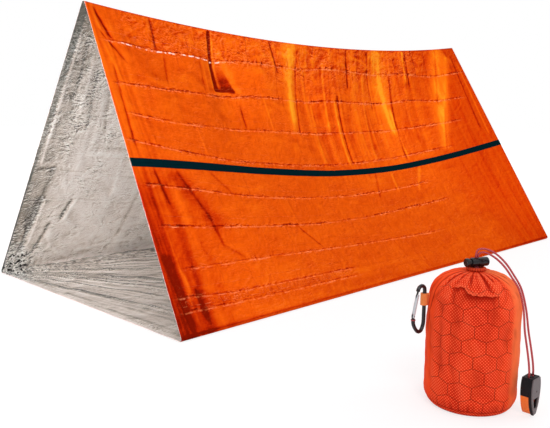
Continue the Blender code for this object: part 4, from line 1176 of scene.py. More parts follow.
@dataclass(frozen=True)
class FilmFolds:
    """The film's thin packing folds, drawn as painted shade and highlight beside the marks that its grid
    carries.
    """

    field_width: float = 0.098
    line: float = 0.0028

    def drawn(self, paint: Paint, flat: Signal) -> tuple[Signal, Signal, Signal, Signal]:
        """Draws the folds.

        Args:
            paint: the material in the making.
            flat: the film's flat place, in metres.

        Returns:
            The painted shade on the folds' dark side, the painted highlight on their light side, their
            height, and each field's own painted shade.
        """
        x = paint.axes(flat)[0]
        wander = paint.noise(flat, 34.0, 5.0, 0.75)
        off = paint.attribute("line_off") + (wander - 0.5) * 0.012
        held = paint.attribute("line_on")
        dashes = paint.noise(paint.stretched(flat, (1.0, 0.2, 1.0)), 38.0, 3.0, 0.65)
        # Painted shade along the upper side of each fold line, painted highlight along its lower side, both
        # broken into dashes
        above = (off + self.line * 0.9).size().fall(self.line * 0.5, self.line * 1.2)
        below = (off - self.line).size().fall(self.line * 0.4, self.line)
        above, below = above * held * dashes.step(0.42, 0.54), below * held * dashes.step(0.58, 0.42)
        ridge = off.size().fall(0.0, 0.003) * held
        band = paint.attribute("band")
        row = band.worked("FLOOR")
        bend = paint.noise(paint.joined(x, row * 0.37, 0.0), 7.0, 2.0)
        lean = (paint.noise(paint.joined(x, band * 0.2, 0.0), 5.0, 2.0) - 0.5) * 0.05
        place = paint.joined(x + (bend - 0.5) * 0.16 + lean, band, 0.0)
        # Each field between the fold lines gets its own painted shade, as if it leant a little differently to
        # the light
        bricks = paint.node(
            "ShaderNodeTexBrick", {"offset": 0.41, "offset_frequency": 2, "squash": 1.0},
            {"Vector": place, "Color1": (0.0, 0.0, 0.0), "Color2": (1.0, 1.0, 1.0), "Mortar": (0.5, 0.5, 0.5),
             "Scale": 1.0, "Mortar Size": 0.0024, "Mortar Smooth": 0.8, "Brick Width": self.field_width,
             "Row Height": 1.0},
        )
        shade = paint.axes(bricks)[0]
        upright = Signal(paint, bricks.socket.node.outputs["Fac"])
        short = paint.noise(paint.joined(x, band * 0.06, 0.0), 13.0, 2.0).step(0.44, 0.6)
        crumpled = paint.attribute("crumpled")
        upright = upright * short * (crumpled * 0.9 + 0.1)
        # Painted shade along the short upright creases too
        dark = above.most(upright * 0.7)
        height = ridge * 0.9 + upright * 0.8
        return dark, below, height, shade

    def wrinkles(self, paint: Paint, flat: Signal) -> Signal:
        """Returns painted shading for short sharp wrinkles, lighter on one side and darker on the other,
        about -1 to 1.

        Args:
            paint: the material in the making.
            flat: the film's flat place, in metres.

        Returns:
            The painted shading.
        """
        patch = paint.noise(flat, 11.0, 3.0, 0.6).step(0.38, 0.66)
        one, two = paint.stretched(flat, (1.0, 1.5, 1.0), 0.3), paint.stretched(flat, (0.9, 1.5, 1.0), -0.4)
        broad = paint.pressed(one, 21.0, (0.0034, 0.006, 0.0), 3.0, 0.55, 0.6)
        small = paint.pressed(two, 46.0, (0.0018, 0.0034, 0.0), 3.0, 0.6, 0.6)
        return broad * 2.4 + small * 5.0 * (patch * 0.9 + 0.1)


@dataclass(frozen=True)
class OrangeFilm:
    """Orange lacquer over aluminium, with painted shade making it deep red in its folds and painted
    highlights making it lighter on its ridges.
    """

    deep: Triple = (0.2, 0.006, 0.0008)
    glint: Triple = (0.96, 0.22, 0.06)
    wear_and_glint: Triple = (1.0, 0.72, 0.6)

    def paint(self) -> Material:
        """Builds the material.

        Returns:
            The material.
        """
        paint = Paint("orange_film_lacquer")
        flat = paint.surface()
        tone, shine, crumpled = paint.attribute("tone"), paint.attribute("shine"), paint.attribute("crumpled")
        dark, light, height, shade = FilmFolds().drawn(paint, flat)
        beside = paint.attribute("line_off").size().fall(0.003, 0.014) * paint.attribute("line_on")
        wrinkles = FilmFolds().wrinkles(paint, flat)
        wrinkles = wrinkles * (crumpled + beside * 1.1) * (1.0 + tone.least(0.0) * 0.7)
        mottle = paint.noise(flat, 7.0, 5.0, 0.62)
        fine = paint.noise(paint.stretched(flat, (1.0, 1.5, 1.0)), 190.0, 4.0, 0.7, 0.4)
        # Painted shading of shallow hollows, a lighter and a darker side, strongest where crumpled
        dent_shading = paint.pressed(flat, 15.0, (0.004, 0.006, 0.0), 3.0, 0.6, 0.5) * (crumpled * 0.9 + 0.3)
        # Painted shading picks the colour off the ramp: deep red in shade, yellow-orange in painted
        # highlights; mottle and fine grain add random variation
        depth = tone * 0.52 + 0.5 + (mottle - 0.5) * 0.17 + (fine - 0.5) * 0.22 + (shade - 0.5) * 0.03 + dent_shading
        depth = (depth - dark * 0.36 + wrinkles.least(0.0) * 0.55).held()
        colour = paint.ramp(
            depth, (0.0, self.deep), (0.12, (0.4, 0.015, 0.001)), (0.25, (0.56, 0.036, 0.0013)),
            (0.5, (0.78, 0.103, 0.0034)), (0.72, (0.86, 0.165, 0.005)), (1.0, (0.96, 0.31, 0.014)),
        )
        # Painted highlights on the wrinkles and along the fold lines
        colour = paint.blend((wrinkles.most(0.0) * 1.1 + light * 0.8).held(), colour, self.glint)
        glints = paint.noise(paint.stretched(flat, (1.0, 0.3, 1.0)), 60.0, 2.0).step(0.42, 0.5)
        # Pale dashes on the fold lines' painted highlight: partly cracked lacquer, partly painted glint
        colour = paint.blend((light * glints * shine * 1.8).held(), colour, self.wear_and_glint)
        relief = height + fine * 0.35 + wrinkles * 0.6 + paint.noise(flat, 60.0, 4.0, 0.6, 1.0) * 0.6
        rough = 0.4 + (mottle - 0.5) * 0.2 + shine * light * 0.2
        return paint.finished(
            Base_Color=colour, Roughness=rough, Metallic=0.2, Specular_IOR_Level=0.0,
            Specular_Tint=(1.0, 0.42, 0.1), Normal=paint.bump(relief, 0.0013, 0.6),
        )


@dataclass(frozen=True)
class FilmRim:
    """The film's cut edge, where the pale core shows."""

    dark: Triple = (0.8, 0.5, 0.44)
    light: Triple = (0.92, 0.74, 0.7)

    def paint(self) -> Material:
        """Builds the material.

        Returns:
            The material.
        """
        paint = Paint("film_cut_rim")
        grain = paint.noise(paint.surface(), 300.0, 3.0)
        colour = paint.blend(grain, self.dark, self.light)
        return paint.finished(Base_Color=colour, Roughness=0.45)


@dataclass(frozen=True)
class SilverFilm:
    """Bare aluminised film with fine crinkles, painted warm grey in the shade of its folds, with painted
    glints on its crinkles.
    """

    glint: Triple = (1.0, 0.98, 0.94)
    bright: Triple = (0.86, 0.79, 0.75)
    shaded_grey: Triple = (0.62, 0.54, 0.48)
    turned: Triple = (0.105, 0.122, 0.112)
    shadow: Triple = (0.022, 0.018, 0.015)

    def paint(self) -> Material:
        """Builds the material.

        Returns:
            The material.
        """
        paint = Paint("silver_film_metal")
        flat = paint.surface()
        tone, crumpled = paint.attribute("tone"), paint.attribute("crumpled")
        dark, light, height, shade = FilmFolds().drawn(paint, flat)
        patches = paint.noise(paint.stretched(flat, (1.6, 0.8, 1.0)), 9.0, 3.0, 0.6).step(0.42, 0.62)
        # Painted shading of the crinkles, with steeper upright ones in the crumpled places
        wrinkles = FilmFolds().wrinkles(paint, flat) * (patches * 1.6 + 0.8)
        steep = paint.stretched(flat, (2.4, 0.8, 1.0), 0.1)
        upright = paint.pressed(steep, 40.0, (0.002, 0.0012, 0.0), 4.0, 0.65, 0.8)
        wrinkles = wrinkles + upright * 5.0 * crumpled * patches
        streaks = paint.noise(paint.stretched(flat, (2.6, 0.8, 1.0)), 26.0, 5.0, 0.65, 0.8)
        mottle = paint.noise(flat, 7.0, 3.0)
        # Painted shading picks the grey off the ramp: the shade of folds, crinkles and fold lines darker,
        # their painted highlights lighter; random mottle and streaks too
        share = 0.86 + tone.most(0.0) * 0.35 + tone.least(0.0) * 0.78 + (mottle - 0.5) * 0.16
        share = share + (streaks - 0.5) * 0.42 * (crumpled * 0.8 + 0.2) + (shade - 0.5) * 0.06
        share = share - dark * 0.1 + wrinkles.least(0.0) * (crumpled * crumpled + 0.35)
        colour = paint.ramp(
            share.held(), (0.0, (0.03, 0.026, 0.022)), (0.22, (0.3, 0.255, 0.205)), (0.5, self.shaded_grey),
            (0.8, self.bright), (1.0, (1.0, 0.97, 0.94)),
        )
        fine = paint.pressed(flat, 85.0, (0.0012, 0.002, 0.0), 3.0, 0.6, 0.6) * (crumpled * 8.0 + 2.4)
        # Painted shade on the low side of the fine crinkles
        colour = paint.blend((fine * -1.0).held() * 0.6, colour, self.shaded_grey)
        # Painted glints on the crinkles and along the fold lines
        glints = wrinkles.most(0.0) * (crumpled * crumpled * 1.6 + 1.1) + fine.most(0.0) + light * 0.6
        colour = paint.blend(glints.held(), colour, self.glint)
        # In the crumpled corner: painted black shadow blotches and white glint specks
        packed = (crumpled - 0.9).step(0.0, 0.6)
        shadow_blots = paint.noise(flat, 62.0, 3.0, 0.5).step(0.53, 0.56)
        sparks = paint.noise(paint.stretched(flat, (1.0, 1.0, 1.0), 0.5), 80.0, 3.0, 0.5).step(0.57, 0.6)
        colour = paint.blend(packed * shadow_blots, colour, self.shadow)
        colour = paint.blend(packed * sparks, colour, self.glint)
        colour = paint.blend(paint.attribute("turned"), colour, self.turned)
        relief = streaks + paint.noise(flat, 120.0, 4.0, 0.65, 1.0) * 0.6 + wrinkles * 0.9 + height * 0.8
        rough = 0.32 + (mottle - 0.5) * 0.2
        return paint.finished(
            Base_Color=colour, Roughness=rough, Metallic=0.55, Normal=paint.bump(relief, 0.0014, 0.6)
        )


@dataclass(frozen=True)
class StripeTape:
    """Very dark teal tape with a faint grain."""

    dark: Triple = (0.0006, 0.009, 0.0125)
    light: Triple = (0.0014, 0.016, 0.021)

    def paint(self) -> Material:
        """Builds the material.

        Returns:
            The material.
        """
        paint = Paint("stripe_dark_tape")
        flat = paint.surface()
        grain = paint.noise(paint.stretched(flat, (1.0, 6.0, 1.0)), 90.0, 4.0, 0.6)
        colour = paint.blend(grain, self.dark, self.light)
        return paint.finished(
            Base_Color=colour, Roughness=0.6 + (grain - 0.5) * 0.2, Specular_IOR_Level=0.0,
            Normal=paint.bump(grain, 0.0002, 0.4),
        )


# Stuff sack


def local_to_world(points: Array, place: Sequence[float], turn: float) -> Array:
    """Turns points about Z and moves them, from a piece's own frame to the shared one.

    Args:
        points: places in the piece's own frame.
        place: where that frame stands.
        turn: its turn, in radians.

    Returns:
        The places in the shared frame.
    """
    c, s = math.cos(turn), math.sin(turn)
    x, y = points[..., 0], points[..., 1]
    return np.stack([c * x - s * y + place[0], s * x + c * y + place[1], points[..., 2] + place[2]], -1)


def wrapped(turn: Array) -> Array:
    """Brings turns to between -180 and 180 degrees."""
    return (turn + 180.0) % 360.0 - 180.0


@dataclass(frozen=True)
class Gather:
    """One pleat of the drawn mouth: its turn from the front, depth, width and reach down the shoulder."""

    turn: float
    depth: float
    width: float
    reach: float
    drift: float = 0.0


class SackFold(Route):
    """A soft valley down the sack's side, from one turn and height to another."""


@dataclass
class StuffSack:
    """The drawstring bag: a lofted ripstop shell with pleats at its mouth and a seamed base."""

    place: Triple = SACK_PLACE
    turn: float = math.radians(-45.0)
    radius: float = SACK_RADIUS
    height: float = 0.268
    cloth: float = 0.0006
    shoulder: float = 0.15
    fullness: float = 4.6
    mouth: float = 0.016
    base_radius: float = 0.078
    base_rounding: float = 0.03
    ledge_height: float = 0.2365
    ledge_turns: tuple[float, float] = (-52.0, 14.0)
    seam_height: float = 0.0105
    hem_ring: float = 0.0155
    hem_tube: float = 0.0034
    hem_height: float = 0.2718
    bundle_low: float = 0.006
    bundle_tall: float = 0.236
    bundle_clear: float = 0.013
    gathers: tuple[Gather, ...] = tuple(Gather(*row) for row in (
        (-1.0, 0.0115, 0.0056, 0.075, 7.0), (15.0, 0.006, 0.0034, 0.06, 2.0),
        (-27.0, 0.005, 0.0036, 0.07, 4.0), (-14.0, 0.0028, 0.003, 0.045, -3.0),
        (31.0, 0.0045, 0.003, 0.06, 3.0), (46.0, 0.005, 0.0032, 0.07, 2.0),
        (-45.0, 0.004, 0.0032, 0.065, -2.0), (-62.0, 0.005, 0.0036, 0.085, -3.0),
        (-80.0, 0.0035, 0.0034, 0.06, 0.0), (63.0, 0.0035, 0.0034, 0.06, 3.0),
        (82.0, 0.0045, 0.0036, 0.075, 2.0),
    ))
    back_gathers: int = 12
    folds: tuple[SackFold, ...] = SackFold.table(
        (-35.0, 0.236, -43.0, 0.08, 0.0034, 0.011), (-40.0, 0.11, -32.0, 0.018, 0.0026, 0.008),
        (33.0, 0.19, 13.0, 0.04, 0.002, 0.01), (17.0, 0.24, -1.0, 0.15, 0.0018, 0.009),
        (-61.0, 0.225, -55.0, 0.07, 0.0026, 0.0075), (-3.0, 0.12, -15.0, 0.015, 0.0016, 0.01),
        (-15.0, 0.215, -23.0, 0.12, 0.0014, 0.01), (47.0, 0.22, 41.0, 0.09, 0.0018, 0.007),
        (-80.0, 0.19, -75.0, 0.05, 0.0024, 0.0065), (84.0, 0.215, 92.0, 0.06, 0.0026, 0.008),
        (112.0, 0.23, 104.0, 0.11, 0.003, 0.0085), (140.0, 0.2, 150.0, 0.04, 0.0032, 0.0085),
        (168.0, 0.235, 160.0, 0.1, 0.003, 0.008), (-168.0, 0.18, -175.0, 0.03, 0.0032, 0.0085),
        (-140.0, 0.235, -150.0, 0.12, 0.003, 0.0085), (-118.0, 0.19, -108.0, 0.05, 0.0032, 0.008),
    )

    def radius_at(self, z: Array) -> Array:
        """Returns the shell's plain outside radius at each height.

        Args:
            z: the heights.

        Returns:
            The radius at each.
        """
        rounding = np.clip(1 - z / self.base_rounding, 0, 1) ** 2.2
        low = self.radius - (self.radius - self.base_radius) * rounding
        share = np.clip((z - self.shoulder) / (self.height - self.shoulder), 0, 1)
        high = self.mouth + (self.radius - self.mouth) * np.sqrt(1 - share ** self.fullness)
        return np.where(z > self.shoulder, high, low)

    def profile(self, rows: int) -> tuple[Array, Array]:
        """Returns the heights of the shell's rows and how far each lies from the mouth, down the cloth.

        Args:
            rows: how many steps the rows make.

        Returns:
            Heights and distances.
        """
        share = 1 - np.linspace(0.0, 1.0, 600) ** 3
        top = self.shoulder + (self.height - self.shoulder) * share
        z = np.concatenate([top, np.linspace(self.shoulder, 0, 300)[1:]])
        r = self.radius_at(z)
        run = np.concatenate([[0.0], np.cumsum(np.hypot(np.diff(z), np.diff(r)))])
        return np.interp(np.linspace(0.0, run[-1], rows + 1), run, z), np.linspace(0.0, run[-1], rows + 1)

    def all_gathers(self) -> list[Gather]:
        """Returns the mouth's pleats, those at the back drawn from a fixed seed.

        Returns:
            The pleats.
        """
        draw = np.random.default_rng(8)
        step = 176.0 / self.back_gathers
        return list(self.gathers) + [
            Gather(92.0 + step * (k + draw.uniform(0.2, 0.8)), draw.uniform(0.003, 0.006), 0.0034,
                   draw.uniform(0.05, 0.09), draw.uniform(-4, 4))
            for k in range(self.back_gathers)
        ]

    def relief(self, turn: Array, z: Array, run: Array) -> tuple[Array, Array]:
        """Returns how far the cloth stands out from the plain shell.

        Args:
            turn: degrees round the sack from its front, positive to the right.
            z: heights.
            run: distance down the cloth from the mouth.

        Returns:
            Outward heights, below 0 in the pleats, and each place's painted shading, -1 to 1.
        """
        out, shade = np.zeros_like(turn), np.zeros_like(turn)
        self.press_gathers(out, shade, turn, z, run)
        self.press_folds(out, shade, turn, z)
        self.press_ledge(out, shade, turn, z)
        self.press_crumple(out, shade, turn, z, run)
        self.press_seams(out, shade, turn, z)
        return out, np.clip(shade, -1, 1)

    def press_gathers(self, out: Array, shade: Array, turn: Array, z: Array, run: Array) -> None:
        """Adds the mouth's pleats to the heights, with painted shade in each pleat and painted highlight
        beside it.

        Args:
            out: heights so far, which are changed.
            shade: shades so far, which are changed.
            turn: degrees round the sack.
            z: heights on the sack.
            run: distance down the cloth from the mouth.
        """
        r = self.radius_at(z)
        for gather in self.all_gathers():
            share = np.clip(run / gather.reach, 0.0, 1.0)
            span = np.radians(wrapped(turn - gather.turn - gather.drift * share)) * r
            held = eased(run, -0.004, 0.006) * (1 - eased(run, gather.reach * 0.5, gather.reach))
            width = gather.width * (0.4 + 0.75 * share)
            out -= gather.depth * held * np.exp(-((np.abs(span) / width) ** 1.3))
            out += 0.3 * gather.depth * held * bell(np.abs(span) - 2.2 * width, 1.1 * width)
            strong = np.clip(gather.depth / 0.0065, 0, 1.4)
            shade -= 0.95 * strong * held * bell(span, 0.75 * width)
            shade += 0.35 * strong * held * bell(np.abs(span) - 2.0 * width, width)

    def press_folds(self, out: Array, shade: Array, turn: Array, z: Array) -> None:
        """Adds the soft valleys down the side, with painted shade in each and painted highlight beside it.

        Args:
            out: heights so far, which are changed.
            shade: shades so far, which are changed.
            turn: degrees round the sack.
            z: heights on the sack.
        """
        r = self.radius_at(z)
        for fold in self.folds:
            (from_turn, from_z), (to_turn, to_z) = fold.start, fold.end
            share = np.clip((from_z - z) / (from_z - to_z), 0, 1)
            span = np.radians(wrapped(turn - from_turn - (to_turn - from_turn) * share)) * r
            span = span + 0.003 * Wander(75).at(z / 0.05, turn * 0 + from_turn)
            held = eased(from_z - z, -0.004, 0.025) * eased(z - to_z, -0.012, 0.02)
            out -= 0.7 * fold.depth * held * bell(span, fold.width)
            out += 0.4 * fold.depth * held * bell(span - 2.0 * fold.width, 1.3 * fold.width)
            shade -= 42 * fold.depth * held * bell(span + 0.2 * fold.width, 1.3 * fold.width)
            shade += 24 * fold.depth * held * bell(span - 2.4 * fold.width, 1.4 * fold.width)

    def press_ledge(self, out: Array, shade: Array, turn: Array, z: Array) -> None:
        """Adds the wavy ledge under the front's shoulder, with painted shadow under it and painted highlight
        along its top.

        Args:
            out: heights so far, which are changed.
            shade: shades so far, which are changed.
            turn: degrees round the sack.
            z: heights on the sack.
        """
        low, high = self.ledge_turns
        side = eased(turn, low - 2, low + 12) * eased(-turn, -high - 10, -high + 8)
        wave = Wander(70)
        line = self.ledge_height + 0.0035 * wave.at(turn / 14.0, turn * 0)
        line = line + 0.0014 * wave.at(turn / 4.0, turn * 0 + 9) + 0.01 * eased(-turn, 18, 34)
        above = eased(z - line, -0.0008, 0.0014)
        out += side * above * 0.0026 * trailing(z - line, 0.012)
        out -= side * (1 - above) * 0.0034 * trailing(line - z, 0.022)
        under = 0.55 * trailing(line - z, 0.006) + 0.4 * trailing(line - z, 0.03)
        shade -= side * (1 - above) * under
        shade += side * above * 0.3 * trailing(z - line, 0.006)

    def press_crumple(self, out: Array, shade: Array, turn: Array, z: Array, run: Array) -> None:
        """Adds the cloth's soft waves, and the crushed cloth of its shoulder, with painted shading that
        follows them.

        Args:
            out: heights so far, which are changed.
            shade: shades so far, which are changed.
            turn: degrees round the sack.
            z: heights on the sack.
            run: distance down the cloth from the mouth.
        """
        around = np.radians(turn) * self.radius
        body = eased(z, 0.018, 0.05) * fading(z, 0.2, 0.25)
        soft = Wander(71).layered(around / 0.05 + z / 0.09, z / 0.065)
        out += 0.0014 * body * (soft - 0.6)
        shade += 0.22 * body * soft
        out += 0.0007 * body * Crumple(72, 8).at(around / 0.04, z / 0.05)
        shoulder = eased(z, 0.195, 0.235)
        crushed = Crumple(73, 8).at(around / 0.02, run / 0.024)
        out += 0.0013 * shoulder * crushed
        shade += 0.25 * shoulder * crushed

    def press_seams(self, out: Array, shade: Array, turn: Array, z: Array) -> None:
        """Adds the base's puckered seam and the side seam, with painted shade along both and in the puckers.

        Args:
            out: heights so far, which are changed.
            shade: shades so far, which are changed.
            turn: degrees round the sack.
            z: heights on the sack.
        """
        pucker = eased(z, self.seam_height - 0.001, self.seam_height + 0.002)
        pucker = pucker * eased(-z, -0.034, -self.seam_height)
        gathered = np.abs(Wander(74).at(turn / 5.0, z / 0.05))
        out -= 0.0018 * pucker * gathered
        seam = bell(z - self.seam_height, 0.0013)
        out += 0.0007 * bell(z - 0.0045, 0.0032) - 0.0016 * seam
        shade -= 0.8 * seam + 0.8 * pucker * gathered
        side_seam = bell((turn + 84.0 + 7.0 * np.sin(z * 18)) * math.pi / 180 * self.radius_at(z), 0.0016)
        side_seam = side_seam * eased(z, 0.15, 0.175)
        out -= 0.0012 * side_seam
        shade -= 0.95 * side_seam

    def shell(self) -> None:
        """Builds the ripstop shell, open at its mouth and closed under its base."""
        rows, steps = 210, 380
        z, run = self.profile(rows)
        turn = np.linspace(-180.0, 180.0, steps + 1)
        turn_grid, z_grid = np.meshgrid(turn, z, indexing="ij")
        run_grid = np.broadcast_to(run, turn_grid.shape)
        out, shade = self.relief(turn_grid, z_grid, run_grid)
        out[-1], shade[-1] = out[0], shade[0]
        r = self.radius_at(z_grid)
        slope = np.gradient(self.radius_at(z), run)
        lean = np.clip(np.broadcast_to(-slope, turn_grid.shape), 0, 1)
        radial = r + out * np.sqrt(1 - 0.8 * lean ** 2)
        height = z_grid + out * 0.85 * lean
        height = np.clip(height, 0.0004, None)
        angle = np.radians(turn_grid)
        local = np.stack([radial * np.sin(angle), -radial * np.cos(angle), height], -1)
        points = local_to_world(local, self.place, self.turn)
        # Painted shading: the relief's ridges lighter and its hollows darker, with the painted shade and
        # highlights of the pleats, folds, ledge and seams
        tone = np.clip(0.35 * (out - softened(out, 6)) / 0.0016 + shade, -1, 1)
        spread = np.stack([angle * self.radius, z_grid], -1)
        cloth = Sheeting("sack_shell", points, spread, {"tone": tone}, (0.0, 0.0, 1.0))
        piece = cloth.built([Ripstop().paint()], Body.SACK)
        weld_seam(piece)
        thickened(piece, "cloth", self.cloth)
        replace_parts(piece, "sack_body")

    def hem(self) -> None:
        """Builds the gathered hem round the mouth that holds the drawcord."""
        ring, tube = self.hem_ring, self.hem_tube
        a, b = (np.linspace(0.0, 2 * np.pi, steps + 1) for steps in (150, 20))
        a, b = np.meshgrid(a, b, indexing="ij")
        ruffle = 0.0006 * np.sin(a * 23) + 0.0004 * np.sin(a * 37 + 1.0)
        out = tube + ruffle * (0.5 + 0.5 * np.cos(b))
        reach = ring + out * np.cos(b)
        local = np.stack([reach * np.cos(a), reach * np.sin(a), self.hem_height + out * np.sin(b)], -1)
        points = local_to_world(local, self.place, self.turn)
        spread = np.stack([a * ring, b * tube], -1)
        # Painted shading of the ruffle: lighter where it stands out, darker where it sinks
        hem = Sheeting("mouth_hem", points, spread, {"tone": ruffle / 0.001}, (0.0, 0.0, 1.0))
        piece = hem.built([HemCloth().paint()], Body.SACK)
        weld_seam(piece)
        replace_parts(piece, "drawcord_channel")

    def base(self) -> None:
        """Builds the round base panel, which sags a little between its stitches."""
        bm, full = bmesh.new(), self.base_radius - 0.0016
        bmesh.ops.create_circle(bm, cap_ends=True, cap_tris=False, segments=96, radius=full)
        for share in (0.93, 0.8, 0.55, 0.28):
            faces = [f for f in bm.faces if len(f.verts) > 4]
            width = full * (1 - share) - (full - max(v.co.to_2d().length for v in faces[0].verts))
            bmesh.ops.inset_region(bm, faces=faces, thickness=max(width, 0.001), use_even_offset=True)
        ruffles = Wander(80)
        for vert in bm.verts:
            r = vert.co.to_2d().length
            wave = float(ruffles.at(np.array([vert.co.x / 0.02]), np.array([vert.co.y / 0.02]))[0])
            vert.co.z = 0.0009 + 0.0004 * wave * (r / self.base_radius)
        self.plain_piece("base_panel", bm, Ripstop(plain=True).paint(), "sack_base", Slot.RIPSTOP)

    def bundle(self) -> None:
        """Builds the bundle of packed film inside the shell."""
        bm = bmesh.new()
        bmesh.ops.create_uvsphere(bm, u_segments=48, v_segments=32, radius=1.0)
        crumple = Crumple(81, 8)
        for vert in bm.verts:
            z = self.bundle_low + (vert.co.z + 1) / 2 * self.bundle_tall
            flat = max(vert.co.to_2d().length, 1e-6)
            fat = min(1.0, (1 - abs(vert.co.z)) * 9) ** 0.5
            turn = math.atan2(vert.co.y, vert.co.x)
            dent = float(crumple.at(np.array([turn * 3.0]), np.array([z / 0.03]))[0])
            reach = (float(self.radius_at(np.array([z]))[0]) - self.bundle_clear + 0.0015 * dent) * fat
            vert.co = Vector((vert.co.x / flat * reach, vert.co.y / flat * reach, z))
        self.plain_piece("film_bundle", bm, OrangeBundle().paint(), "packed_film", Slot.BUNDLE)

    def plain_piece(self, name: str, bm: bmesh.types.BMesh, finish: Material, node: str, slot: Slot) -> None:
        """Places a mesh made in the sack's frame, and gives it its finish, body and node.

        Args:
            name: the piece's name.
            bm: its mesh, in the sack's frame.
            finish: its material.
            node: the CAD node that it stands for.
            slot: not used.
        """
        turn = Matrix.Translation(self.place) @ Matrix.Rotation(self.turn, 4, "Z")
        bmesh.ops.transform(bm, matrix=turn, verts=bm.verts)
        dressed(name, bm, finish, Body.SACK, node)

    def build(self) -> None:
        """Builds the shell, hem, base and contents."""
        self.shell()
        self.hem()
        self.base()
        self.bundle()


def weld_seam(piece: Piece) -> None:
    """Joins a grid's meeting edges.

    Args:
        piece: the piece that the grid became.
    """
    bm = bmesh.new()
    bm.from_mesh(piece.data)
    bmesh.ops.remove_doubles(bm, verts=bm.verts, dist=0.00002)
    bm.to_mesh(piece.data)
    bm.free()
    piece.data.shade_smooth()


def dressed(name: str, bm: bmesh.types.BMesh, finish: Material, body: Body, node: str) -> Piece:
    """Turns a bmesh into a finished piece that rides on a body.

    Args:
        name: the piece's name.
        bm: its mesh, in the shared frame; it is freed.
        finish: its material.
        body: what it rides on.
        node: the CAD node that it stands for.

    Returns:
        The piece.
    """
    bmesh.ops.recalc_face_normals(bm, faces=bm.faces)
    mesh = mesh_from(name, bm)
    mesh.shade_smooth()
    mesh.materials.append(finish)
    piece = shown(name, mesh)
    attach(piece, body.value)
    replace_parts(piece, node)
    log.info("%s: %d faces", name, len(mesh.polygons))
    return piece


# Cord


def smooth_route(points: Sequence[Sequence[float]], spacing: float) -> list[Vector]:
    """Reads evenly spaced points from a smooth curve through a route's points.

    Args:
        points: the route's own points.
        spacing: the distance between the points read.

    Returns:
        The points.
    """
    route = [Vector(p) for p in points]
    ends = [route[0] * 2 - route[1]] + route + [route[-1] * 2 - route[-2]]
    fine = []
    for i in range(1, len(ends) - 2):
        p0, p1, p2, p3 = ends[i - 1 : i + 3]
        for k in range(24):
            t = k / 24
            fine.append(0.5 * (2 * p1 + (p2 - p0) * t + (2 * p0 - 5 * p1 + 4 * p2 - p3) * t * t
                               + (3 * p1 - p0 - 3 * p2 + p3) * t ** 3))
    fine.append(route[-1])
    run = np.concatenate([[0.0], np.cumsum([(b - a).length for a, b in zip(fine, fine[1:])])])
    wanted = np.linspace(0.0, run[-1], max(2, round(run[-1] / spacing)) + 1)
    line = np.array([tuple(p) for p in fine])
    return [Vector([float(np.interp(w, run, line[:, k])) for k in range(3)]) for w in wanted]


def arc(sweep: float, steps: int) -> list[float]:
    """Returns evenly spaced turns from 0 to a sweep."""
    return [sweep * k / steps for k in range(steps + 1)]


def mirrored(points: Sequence[Vector]) -> list[Vector]:
    """Returns a route's mirror image in X, from its last point back to its first."""
    return [Vector((-p.x, p.y, p.z)) for p in reversed(points)]


@dataclass
class Cord:
    """A round braided cord along a route in the shared frame."""

    name: str
    route: list[Vector]
    radius: float = 0.002
    sides: int = 16

    def mesh(self) -> bmesh.types.BMesh:
        """Sweeps a ring along the route, and stores how far along and round each point is.

        Returns:
            The closed tube.
        """
        bm = bmesh.new()
        run_layer = bm.verts.layers.float.new("run")
        side_layer = bm.verts.layers.float.new("side_x")
        rise_layer = bm.verts.layers.float.new("side_y")
        made = bmesh.ops.create_circle(bm, cap_ends=True, segments=self.sides, radius=self.radius)["verts"]
        for vert in made:
            vert[side_layer], vert[rise_layer] = vert.co.x / self.radius, vert.co.y / self.radius
        edges = list(bm.edges)
        turn = (self.route[1] - self.route[0]).normalized().to_track_quat("Z", "Y").to_matrix()
        frames = []
        for k, point in enumerate(self.route):
            ahead = self.route[min(k + 1, len(self.route) - 1)] - self.route[max(k - 1, 0)]
            turn = (turn @ Vector((0, 0, 1))).rotation_difference(ahead.normalized()).to_matrix() @ turn
            frames.append(Matrix.Translation(point) @ turn.to_4x4())
        bmesh.ops.transform(bm, matrix=frames[0], verts=made)
        run = 0.0
        for k in range(1, len(frames)):
            run += (self.route[k] - self.route[k - 1]).length
            made = bmesh.ops.extrude_edge_only(bm, edges=edges)["geom"]
            verts = [g for g in made if isinstance(g, bmesh.types.BMVert)]
            edges = [g for g in made if isinstance(g, bmesh.types.BMEdge)]
            bmesh.ops.transform(bm, matrix=frames[k] @ frames[k - 1].inverted(), verts=verts)
            for vert in verts:
                vert[run_layer] = run
        bmesh.ops.contextual_create(bm, geom=edges)
        return bm

    def built(self, node: str, finish: Material) -> Piece:
        """Builds the cord in place of its CAD node."""
        return dressed(self.name, self.mesh(), finish, Body.SACK, node)

    def length(self) -> float:
        """Returns the route's length."""
        return sum((b - a).length for a, b in zip(self.route, self.route[1:]))


